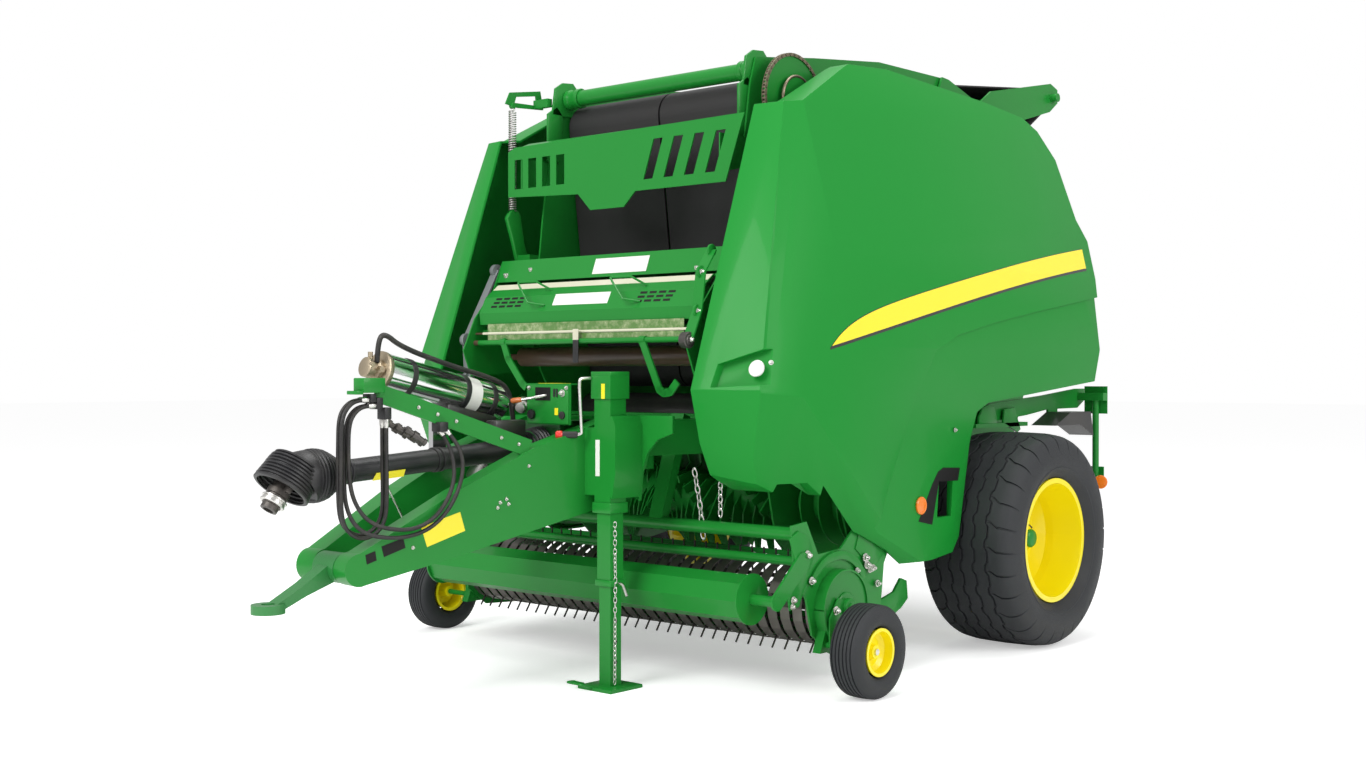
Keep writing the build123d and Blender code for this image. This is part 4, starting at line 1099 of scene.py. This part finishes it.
lever = slab([(-1650, 2078), (-1604, 2096), (-1580, 2070), (-1552, 1930), (-1520, 1843),
              (-1600, 1843), (-1632, 1950), (-1668, 2050)], "x", -722, -698)
soften(lever, 6, 3)
spring_set = joined([
    plate, lever,
    block(-716, -615, -1480, -1450, 2600, 2640),
    block(-712, -615, -1600, -1540, 1843, 1875),
    rod((-722, -1622, 2596), (-700, -1622, 2596), 14),
    rod((-724, -1622, 2078), (-700, -1622, 2078), 16)])
done(spring_set, "spring_plates", green, "chassis")
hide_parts("belt_spring")
hooks = joined([
    wire([(-712, -1622, 2570), (-712, -1608, 2576), (-712, -1606, 2600), (-712, -1622, 2612),
          (-712, -1636, 2600)], 3.4),
    wire([(-712, -1622, 2092), (-712, -1608, 2088), (-712, -1606, 2070), (-712, -1622, 2060),
          (-712, -1638, 2072)], 3.4)])
done(hooks, "spring_hooks", steel, "chassis")

# %% [markdown]
# The drive chain runs round two sprockets. An Array along a curve would stretch its links, so
# it is laid link by link. One link is modelled: two waisted plates and a roller. Its copies
# follow the loop of two arcs and two straight runs, turned to the chain's heading.

# %% Chain and sprockets
chain_x = 694
big = (-1240, 2510, 200)
small = (-1180, 1115, 90)
pitch = 31.75
middle = -shift * 1000  # the layout's y of the model's origin, where the link is modelled
waist = 7
waist_swell = 3.5
link_outline = []
for step in range(16):
    angle = 2 * math.pi * step / 16
    half = waist + waist_swell * abs(math.cos(angle))
    link_outline.append((math.cos(angle) * 22 + middle, math.sin(angle) * half))
link_pieces = [slab(link_outline, "x", x, x + 2.5) for x in (-9, 7)]
for y in (middle - 16, middle):
    link_pieces.append(rod((-8, y, 0), (8, y, 0), 6.5, 12))
    link_pieces.append(rod((-11, y, 0), (11, y, 0), 3.5, 10))
link_mesh = joined(link_pieces)
gap = Vector(small[:2]) - Vector(big[:2])
tilt = math.asin((big[2] - small[2]) / gap.length)
base = math.atan2(gap.y, gap.x)
run = math.sqrt(gap.length ** 2 - (big[2] - small[2]) ** 2)
big_arc = (math.pi + 2 * tilt) * big[2]
small_arc = (math.pi - 2 * tilt) * small[2]
total = big_arc + small_arc + 2 * run
count = round(total / pitch)


def chain_point(distance):
    """The (y, z) place and the heading of the chain at a distance along it."""
    start = base + math.pi / 2 - tilt
    leave = start + math.pi + 2 * tilt
    # sprocket, angle at which the part starts, its length, does it turn
    loop = [(big, start, big_arc, True), (big, leave, run, False),
            (small, leave, small_arc, True), (small, start, run, False)]
    for wheel, angle, length, turns in loop:
        if distance < length:
            break
        distance -= length
    if turns:
        angle += distance / wheel[2]
        distance = 0
    spot = Vector(wheel[:2]) + Vector((math.cos(angle), math.sin(angle))) * wheel[2]
    spot += Vector((-math.sin(angle), math.cos(angle))) * distance
    return spot, angle + math.pi / 2


links = []
for step in range(count):
    (y, z), heading = chain_point((step + 0.5) * total / count)
    turn = Matrix.Translation(at(chain_x, y, z)) @ Matrix.Rotation(heading, 4, "X")
    links.append(own_copy(link_mesh, turn))
bpy.data.objects.remove(link_mesh)
chain_steel = finish("chain steel", (0.30, 0.25, 0.18), 0.38, 0.12, 700, 30, 0.5,
                     (0.10, 0.08, 0.06), 0.15, metal=1.0)
chain = done(joined(links), "chain_links", chain_steel, "chassis")
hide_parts("drive_chain")
third = (big[0], big[1], 104)
tooth_steps = (4, 4, -7, -7)
sprocket_width = 6
teeth = []
for (y, z, radius), teeth_count, offset in ((big, 40, -3), (small, 18, -3), (third, 20, 24)):
    ring = []
    for step in range(teeth_count * 4):
        angle = 2 * math.pi * step / (teeth_count * 4)
        reach = radius + tooth_steps[step % 4]
        ring.append((y + reach * math.cos(angle), z + reach * math.sin(angle)))
    x = chain_x + offset
    teeth.append(slab(ring, "x", x, x + sprocket_width))
teeth.append(turned((chain_x + 3, big[0], big[1]), (1, 0, 0), [
    (0, 0), (0, 46), (20, 46), (22, 40), (36, 40), (38, 36), (38, 0)], 32))
done(joined(teeth), "sprocket_teeth", green, "chassis")
y, z, radius = third
small_loop = [(chain_x + 27, y + radius * math.cos(0.3 * k), z + radius * math.sin(0.3 * k))
              for k in range(22)]
done(wire(small_loop, 7), "small_chain", chain_steel, "chassis")
print("chain links", count)

# %% [markdown]
# The jack has its crank with a black and red grip, a blank label, a row of pin openings down its
# leg, a bent pin on a chain and a handle on its foot. A curved gusset ties its tube to the cross
# beam. Round wire bends like a curve, so crank, pin and handle are made from one. The openings
# are not cut: dark discs of painted shade stand in for their dark insides, and look the same from
# a step away.

# %% Jack details
crank = wire([(340, -2150, 1284), (334, -2196, 1284), (332, -2204, 1276), (330, -2204, 1250),
              (318, -2180, 1066), (316, -2178, 1058), (308, -2184, 1052), (290, -2200, 1050)], 7)
done(crank, "jack_crank", zinc, "chassis")
grip = turned((302, -2188, 1051), (-0.62, -0.78, 0), [
    (0, 0), (0, 12), (3, 14), (60, 15), (64, 14), (64, 0)], 24)
done(grip, "crank_grip", plastic, "chassis")
grip_end = turned((262, -2238, 1051), (-0.62, -0.78, 0), [
    (0, 0), (0, 15), (4, 17), (20, 17), (27, 12), (29, 0)], 24)
done(grip_end, "crank_knob", grip_red, "chassis")
bands = []
for corners in ((342, 448, -2143, -2037, 728, 772), (350, 440, -2135, -2045, 425, 452)):
    band = soften(block(*corners), 3)
    bands.append(combine(band, block(359, 431, -2126, -2054, 300, 900), "DIFFERENCE"))
jack_trim = joined(bands + [
    soften(block(338, 452, -2147, -2033, 1296, 1312), 3),
    slab([(402, 1130), (402, 800), (453, 772), (467, 890), (500, 975), (555, 1030), (640, 1058),
          (640, 1130)], "y", -1976, -1962),
    slab([(441, 1125), (441, 800), (453, 790), (472, 890), (472, 1090), (452, 1130)], "y",
         -2140, -1976)])
done(jack_trim, "jack_trim", green, "chassis")
done(block(356, 380, -2137.2, -2136, 880, 1030), "jack_label", label_white, "chassis")
done(block(400, 420, -2147.8, -2147, 1200, 1262), "jack_mark", label_yellow, "chassis")
# Dark discs of painted shade, where each pin opening in the leg would be dark inside.
hole_shade_discs = []
for z in (110, 195, 280, 360):
    hole_shade_discs.append(turned((427, -2090, z), (1, 0, 0), [(-1, 0), (-1, 9), (0.2, 9), (0.2, 0)], 20))
done(joined(hole_shade_discs), "jack_hole_shade_discs", label_and_shade_black, "jack_leg")
foot_handle = wire([(300, -2150, 14), (292, -2190, 26), (290, -2196, 30), (296, -2240, 34),
                    (304, -2246, 34), (372, -2246, 34), (380, -2240, 32), (380, -2186, 14)], 5)
foot_cap = slab([(300, -2185), (300, -1995), (490, -1995), (490, -2185)], "z", 11, 15)
soften(foot_cap, 14, 4)
done(joined([foot_handle, foot_cap]), "jack_foot_handle", green, "jack_leg")
pin = wire([(360, -2090, 438), (440, -2090, 438), (458, -2090, 438), (470, -2090, 430),
            (486, -2090, 398), (490, -2090, 390)], 6)
done(pin, "jack_pin", zinc, "chassis")


def chain_of_rings(name, points, length=13.0, thick=1.6):
    """Links of bent wire, each turned a quarter against the last, along straight runs."""
    rings = []
    turn_now = False
    for start, end in zip(points, points[1:]):
        way = Vector(end) - Vector(start)
        steps = max(1, round(way.length / (length * 1.5)))
        for step in range(steps):
            middle = Vector(start).lerp(Vector(end), (step + 0.5) / steps)
            deselect()
            bpy.ops.mesh.primitive_torus_add(major_segments=14, minor_segments=6,
                                             major_radius=length / 2000, minor_radius=thick / 1000)
            ring = bpy.context.object
            ring.matrix_world = Matrix.Identity(4)
            stretch = Matrix.Diagonal((1.9, 1, 1, 1))
            spin = Matrix.Rotation(math.pi / 2 * turn_now, 4, "X")
            aim = way.to_track_quat("X", "Z").to_matrix().to_4x4()
            ring.data.transform(Matrix.Translation(at(*middle)) @ aim @ spin @ stretch)
            rings.append(ring)
            turn_now = not turn_now
    return done(joined(rings), name, zinc, "chassis", 60)


chain_of_rings("jack_chain", [(436, -2104, 690), (438, -2106, 560), (440, -2106, 470)])
slack = chain_of_rings("jack_chain_low", [(440, -2106, 462), (442, -2110, 300), (442, -2112, 24)])
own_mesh(slack)
guard_chain = chain_of_rings(
    "guard_chain", [(570, -1760, 900), (566, -1720, 760), (562, -1690, 600)], 22, 3)
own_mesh(guard_chain)
drawbar_chain = chain_of_rings("drawbar_chain", [(656, -1690, 876), (656, -1690, 700)], 20, 2.6)
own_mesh(drawbar_chain)

# %% [markdown]
# The oil tank is a polished cylinder that lies at a slope. A cast valve head closes its front,
# straps hold it in a black bracket, and a hose runs over it. They are placed by distances along
# the tank's own axis, so that they needn't be turned by hand. The valve box beside it stands
# upright, so its face, labels, lever and dials take their places from the layout.

# %% Tank and valve box
tank_back = Vector((-120, -2254, 1175))
tank_way = (Vector((-120, -2865, 1312)) - tank_back).normalized()
tank_length = 626
head_spot = tank_back + tank_way * tank_length
brass = finish("worn brass", (0.50, 0.42, 0.30), 0.35, 0.3, 400, 12, 0.4,
               (0.22, 0.18, 0.13), 0.2, metal=1.0)


def from_head(distance, x, y, z):
    return head_spot + tank_way * distance + Vector((x, y, z))


def from_back(distance, x, y, z):
    return tank_back + tank_way * distance + Vector((x, y, z))


head = joined([
    turned(head_spot, tank_way, [(0, 0), (0, 78), (6, 80), (18, 80), (22, 70), (22, 0)], 48),
    turned(head_spot + tank_way * 20, tank_way, [
        (0, 0), (0, 44), (8, 46), (22, 46), (26, 34), (50, 34), (52, 40), (66, 40), (70, 30),
        (70, 0)], 32),
    rod(from_head(40, -46, 0, 0), from_head(40, 56, 0, 0), 13),
    rod(from_head(58, 0, 0, -10), from_head(58, 0, 0, 66), 10),
    rod(from_head(76, -30, 0, 12), from_head(76, 40, 0, 12), 11)])
done(head, "tank_head", brass, "chassis")
straps = []
for share in (0.10, 0.34, 0.80):
    straps.append(turned(tank_back + tank_way * (tank_length * share), tank_way, [
        (0, 70), (0, 78.5), (1, 79.5), (23, 79.5), (24, 78.5), (24, 70)], 48))
done(joined(straps), "tank_straps", plastic, "chassis")
cradle = joined([soften(bar(from_back(60, 0, 0, -92), from_back(330, 0, 0, -92), 120, 52), 6),
                 soften(block(-10, 60, -2420, -2250, 1040, 1110), 8)])
done(cradle, "tank_cradle", black_paint, "chassis")
tank_label = turned(tank_back + tank_way * 150, tank_way, [
    (0, 76), (0, 77.2), (70, 77.2), (70, 76)], 48)
done(tank_label, "tank_label", label_white, "chassis")
tank_hose = wire([
    from_head(40, 20, 0, 30), from_head(44, 30, 0, 110), from_head(20, 40, 0, 150),
    from_head(-60, 48, 0, 110), from_back(300, 58, 0, 92), from_back(90, 66, 0, 90),
    from_back(0, 70, 0, 70), from_back(0, 66, 30, -30), from_back(0, 60, 40, -90)], 11)
done(tank_hose, "tank_hose", hose_rubber, "chassis")

valve_face = soften(slab([(8, 1094), (8, 1256), (256, 1256), (256, 1094)], "y", -2196, -2190), 2)
done(valve_face, "valve_face", green, "chassis")
for name, corners, material, slot in (
        ("valve_label", (58, 150, -2197.4, -2196, 1190, 1246), label_and_shade_black, "black_paint"),
        ("valve_top_label", (60, 200, -2180, -2125, 1262, 1263.2), label_yellow, "green"),
        ("valve_mark", (176, 196, -2197.4, -2196, 1130, 1160), label_yellow, "green")):
    done(block(*corners), name, material, "chassis")
lever_rod = wire([(122, -2196, 1212), (112, -2230, 1206), (60, -2260, 1196), (30, -2270, 1192)], 6)
done(lever_rod, "valve_lever", zinc, "chassis")
knob = turned((46, -2264, 1194), (-0.93, -0.33, -0.12), [
    (0, 0), (0, 8), (8, 11), (40, 12), (48, 9), (51, 0)], 24)
done(knob, "valve_knob", knob_orange, "chassis")
dials = joined([
    turned((40, -2196, 1132), (0, -1, 0), [(0, 0), (0, 20), (6, 22), (14, 20), (16, 0)], 8),
    block(168, 178, -2199, -2196, 1206, 1240), block(184, 194, -2199, -2196, 1206, 1240),
    turned((222, -2196, 1130), (0, -1, 0), [(0, 0), (0, 16), (8, 16), (10, 0)], 24)])
done(dials, "valve_dials", plastic, "chassis")
bolts("valve_bolts", "chassis", [
    ((222, -2197, 1222), (0, -1, 0), 1.2), ((20, -2197, 1244), (0, -1, 0), 0.7),
    ((246, -2197, 1244), (0, -1, 0), 0.7)], zinc)
filters = joined([
    turned((-60, -2150, 1180), (0.55, -0.8, -0.25), [
        (0, 0), (0, 22), (16, 24), (20, 30), (66, 30), (70, 22), (90, 20), (92, 0)], 28),
    turned((-96, -2330, 842), (0, -0.7, 0.7), [
        (0, 0), (0, 40), (60, 42), (64, 52), (84, 52), (90, 40), (92, 0)], 32)])
done(filters, "filter_cans", zinc, "chassis")

# %% [markdown]
# The drawbar's near beam carries a yellow label and two dark ones, a row of bolts and the
# bracket's fixings. Each label is a thin film laid along the beam's outer face.

# %% Labels and bolts on the drawbar
def beam_face(y):
    """How far out the beam's face lies: the beams spread towards the machine."""
    return 162.4 + 0.125 * (y + 3180)


def beam_label(points, material, name):
    film_piece = slab(points, "x", 0, 1.2)
    for vertex in film_piece.data.vertices:
        vertex.co.x += beam_face((vertex.co.y - shift) * 1000) / 1000
    done(film_piece, name, material, "chassis")


beam_label([(-2923, 716), (-2748, 764), (-2725, 689), (-2897, 638)], label_yellow, "beam_label")
beam_label([(-3163, 628), (-3122, 640), (-3116, 604), (-3157, 592)], label_and_shade_black, "beam_mark_small")
beam_label([(-3095, 655), (-3002, 680), (-2992, 642), (-3085, 614)], label_and_shade_black, "beam_mark_wide")
side_bolts = []
for y, z in ((-2960, 640), (-2560, 790), (-2530, 802), (-2572, 770), (-2520, 782), (-2420, 930)):
    side_bolts.append(((beam_face(y) + 1.1, y, z), (1, 0, 0), 0.6))
for share in (0.08, 0.2, 0.5, 0.62, 0.74):
    spot = Vector((238, -2400, 1000)).lerp(Vector((130, -3090, 1235)), share)
    side_bolts.append(((spot.x + 8, spot.y, spot.z), (1, 0, 0), 0.6))
bolts("drawbar_bolts", "chassis", side_bolts, zinc)

# %% [markdown]
# Each pickup cheek carries a cam housing. A rim, a curved arm over it, a hub and many bolts
# break up its plate. The gauge wheel's arm is held by a pinned quadrant. Curved bands could be
# cut from discs, but an outline of two arcs gives them in one extrusion.

# %% Cheek details
def arc_band(y, z, inner, outer, first, last, low, high, steps=28):
    """A flat curved band between two radii, from a first to a last angle."""
    angles = [math.radians(first + (last - first) * step / steps) for step in range(steps + 1)]
    ring = [(y + outer * math.cos(a), z + outer * math.sin(a)) for a in angles]
    ring += [(y + inner * math.cos(a), z + inner * math.sin(a)) for a in reversed(angles)]
    return slab(ring, "x", low, high)


reel = (-1430, 332)
cheek_out = 1072
plate_thick = 12
cover_out = cheek_out + 52
cheek_pieces = [
    arc_band(*reel, 196, 232, 28, 150, cheek_out, cheek_out + plate_thick),
    arc_band(*reel, 150, 158, -180, 178, cheek_out, cover_out, 48),
    turned((cheek_out + 45, *reel), (1, 0, 0), [
        (0, 0), (0, 62), (5, 64), (8, 60), (8, 40), (28, 38), (30, 34), (30, 20), (38, 20),
        (38, 0)], 40),
    slab([(-1760, 640), (-1700, 668), (-1640, 640), (-1600, 560), (-1640, 470), (-1700, 360),
          (-1760, 350), (-1772, 400), (-1700, 500)], "x", cheek_out, cheek_out + 8),
    slab([(-1300, 560), (-1190, 820), (-1120, 830), (-1150, 640), (-1080, 520), (-1180, 470)], "x",
         cheek_out, cheek_out + 6),
    slab([(-1130, 300), (-960, 340), (-905, 395), (-860, 380), (-850, 300), (-905, 262),
          (-1100, 190)], "x", cheek_out - 40, cheek_out - 26),
    slab([(-1560, 300), (-1500, 380), (-1450, 360), (-1480, 300), (-1500, 180), (-1560, 190)], "x",
         cover_out, cover_out + 8),
]
for piece in cheek_pieces[:1] + cheek_pieces[3:]:
    soften(piece, 1.5, 2)
both_sides(joined(cheek_pieces), "cheek_parts", green, "pickup")
plate_x = cheek_out + plate_thick
cover_x = cover_out + 8
cheek_spots = [
    # x, y, z, scale
    (plate_x, -1652, 566, 1.5), (plate_x, -1622, 458, 1.3), (plate_x, -1744, 392, 1.2),
    (plate_x, -1750, 366, 1.0), (plate_x, -1228, 488, 1.4), (plate_x, -1205, 466, 1.2),
    (plate_x, -1182, 470, 1.2), (plate_x, -1148, 400, 1.2), (plate_x, -1240, 520, 1.4),
    (plate_x, -1180, 640, 1.0), (plate_x, -1300, 470, 1.0), (cover_x, -1520, 330, 1.4),
    (cover_x, -1536, 230, 0.9), (cover_x, -1510, 250, 0.9), (cover_x, -1500, 205, 0.9),
]
for side, name in ((1, "left"), (-1, "right")):
    places = [((side * x, y, z), (side, 0, 0), scale) for x, y, z, scale in cheek_spots]
    bolts("cheek_bolts_" + name, "pickup", places, zinc)

# %% [markdown]
# Wheels get their hubs: a green cap, wheel nuts and a valve stem. Lugs above the tyre and a lamp
# post's round reflector fill the space behind the panel, and dark couplers and a rest stand at
# the drawbar. The hubs are made in one loop over both sides, and the lugs and reflectors are made
# once and mirrored.

# %% Wheel hubs, rear corners and couplers
hub_section = [(0, 0), (0, 62), (40, 62), (44, 58), (44, 46), (84, 44), (92, 38), (96, 30), (96, 0)]
stem_section = [(0, 0), (0, 5), (26, 5), (27, 6.5), (40, 6.5), (41, 0)]
gauge_hub_section = [(0, 0), (0, 26), (14, 26), (18, 22), (18, 14), (30, 13), (32, 0)]
wheel_x, wheel_y, wheel_z = wheel_centre
gauge_x, gauge_y, gauge_z = gauge_centre
nut_count = 8
nut_circle = 105
for side, name in ((1, "left"), (-1, "right")):
    hub = turned((side * wheel_x, wheel_y, wheel_z), (side, 0, 0), hub_section, 40)
    done(hub, "hub_cap_" + name, green, "wheel_" + name)
    nuts = []
    for step in range(nut_count):
        angle = 2 * math.pi * (step + 0.5) / nut_count
        y = wheel_y + nut_circle * math.cos(angle)
        z = wheel_z + nut_circle * math.sin(angle)
        nuts.append(((side * (wheel_x + 10), y, z), (side, 0, 0), 1.5))
    bolts("wheel_nuts_" + name, "wheel_" + name, nuts, dark_steel)
    stem = turned((side * 1142, 60, wheel_z + 205), (side * 0.8, 0.2, 0.55), stem_section, 14)
    done(stem, "valve_stem_" + name, plastic, "wheel_" + name)
    gauge_face = side * (gauge_x + 16)
    gauge_hub = turned((gauge_face, gauge_y, gauge_z), (side, 0, 0), gauge_hub_section, 28)
    done(gauge_hub, "gauge_hub_" + name, zinc, "gauge_wheel_" + name)

rear_lugs = joined([
    soften(slab([(-170, 1060), (-170, 1092), (-130, 1140), (-78, 1153), (-30, 1140), (-2, 1089),
                 (-2, 1060)], "x", 995, 1007), 2),
    soften(slab([(60, 1060), (74, 1126), (171, 1134), (231, 1024), (200, 1010)],
                "x", 995, 1007), 2),
    block(960, 1007, -200, 300, 1040, 1060)])
both_sides(rear_lugs, "rear_lugs", green)

post_mirrors = turned((1115, 884, 731), (0.35, -1, 0), [
    (-8, 0), (-8, 26), (0, 28), (0, 34), (6, 36), (12, 33), (14, 14), (14.5, 0)], 36)
both_sides(post_mirrors, "post_reflector", orange_lens)
coupler_section = [(0, 0), (0, 14), (4, 16), (18, 16), (20, 12), (34, 12), (36, 18), (58, 18),
                   (60, 13), (84, 12), (86, 15), (98, 15), (100, 0)]
couplers = []
for spot in ((96, -3010, 1120), (122, -2985, 1104), (148, -2960, 1092), (104, -2940, 1088)):
    couplers.append(turned(spot, (0.25, 0.75, -0.55), coupler_section, 20))
done(joined(couplers), "couplers", dark_steel, "chassis")
shaft_label = slab([(-3040, 893), (-2890, 902), (-2880, 930), (-3020, 922)], "x", 46, 47.2)
done(shaft_label, "shaft_label", label_yellow, "chassis")
shaft_rest = wire([(20, -2960, 880), (24, -2900, 780), (26, -2840, 672), (26, -2820, 640)], 5)
done(shaft_rest, "shaft_rest", zinc, "chassis")

# %% [markdown]
# The top tube ends in clamped collars between lugs. The collars are turned and the lugs
# extruded, and both ends are made in one loop, because they mirror each other.

# %% Top tube ends
collar_section = [(0, 38), (0, 46), (3, 48), (26, 48), (28, 44), (60, 44), (62, 48), (86, 48),
                  (88, 46), (88, 38)]
tube_lug = [(-1470, 2560), (-1450, 2690), (-1400, 2722), (-1330, 2728), (-1290, 2690),
            (-1280, 2560)]
wall_lug = [(-1500, 2330), (-1500, 2560), (-1440, 2600), (-1400, 2560), (-1420, 2330)]
lug_x = 596
lug_half = 6
top_parts = []
for side in (1, -1):
    top_parts.append(turned((side * 500, -1357, 2643), (side, 0, 0), collar_section, 40))
    for outline in (tube_lug, wall_lug):
        top_parts.append(slab(outline, "x", side * lug_x - lug_half, side * lug_x + lug_half))
for piece in top_parts:
    soften(piece, 1.5, 2, 50)
done(joined(top_parts), "top_tube_ends", green, "chassis")

# %% [markdown]
# A yellow stripe with a black edge sweeps along each side panel. It is a thin film. The panel's
# own faces could be cut along it, but the stripe crosses the crease, so a grid is bent to the
# stripe's outline and then laid on the panel with a Shrinkwrap.

# %% Side stripes
stripe_yellow = finish("stripe yellow", (0.95, 0.80, 0.01), 0.22, 0.02, 900, 2, 0.03,
                       (0.80, 0.60, 0.02), 0.05, coat=0.6)
stripe_black = finish("stripe black", (0.010, 0.010, 0.010), 0.25, 0.02, 900, 2, 0.03, coat=0.6)
stripe_start = -1.559
stripe_end = 0.775
full_width = 0.100
tip_length = 0.16
black_below = 0.013
black_above = 0.003
clear_of_panel = 1.30


def stripe_low(y):
    """The stripe's lower edge, as a height over the layout's y in metres."""
    return -0.0069 * y ** 3 - 0.02067 * y ** 2 + 0.18322 * y + 1.72635


def stripe_high(y):
    """The upper edge: the stripe widens from its tip to its full width."""
    return stripe_low(y) + full_width * (1 - math.exp(-(y - stripe_start) / tip_length))


def film(name, side, panel, body, low_at, high_at, lift, material, start):
    """A sheet between two edges, laid on a panel and lifted off it by a hair."""
    deselect()
    bpy.ops.mesh.primitive_grid_add(x_subdivisions=90, y_subdivisions=6, size=1)
    sheet = bpy.context.object
    sheet.name = name
    for vertex in sheet.data.vertices:
        along = vertex.co.x + 0.5
        up = vertex.co.y + 0.5
        y = start + (stripe_end - start) * along ** 1.4
        z = low_at(y) + (high_at(y) - low_at(y)) * up
        vertex.co = (side * clear_of_panel, y + shift, z)
    wrap = sheet.modifiers.new("lay on panel", "SHRINKWRAP")
    wrap.target = panel
    wrap.wrap_method = "PROJECT"
    wrap.use_project_x = True
    wrap.use_positive_direction = side < 0
    wrap.use_negative_direction = side > 0
    bpy.ops.object.modifier_apply(modifier=wrap.name)
    for vertex in sheet.data.vertices:
        vertex.co.x += side * lift
    bpy.ops.object.mode_set(mode="EDIT")
    settle()
    sheet.data.materials.append(material)
    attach(sheet, body)


for side, name, panel in ((1, "left", panels[0]), (-1, "right", panels[1])):
    body = "panel_" + name
    film("stripe_edge_" + name, side, panel, body, lambda y: stripe_low(y) - black_below,
         lambda y: stripe_high(y) + black_above, 0.0006, stripe_black, stripe_start - 0.012)
    film("stripe_" + name, side, panel, body, stripe_low, stripe_high, 0.0012, stripe_yellow,
         stripe_start)
print("stripes reach", round(stripe_end - stripe_start, 3), "m along y")

# %% [markdown]
# The bolt that all others were copied from lies at the origin and is removed. Then the size of the
# scene is measured.

# %% Close the scene
bpy.data.objects.remove(bolt)
low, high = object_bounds()
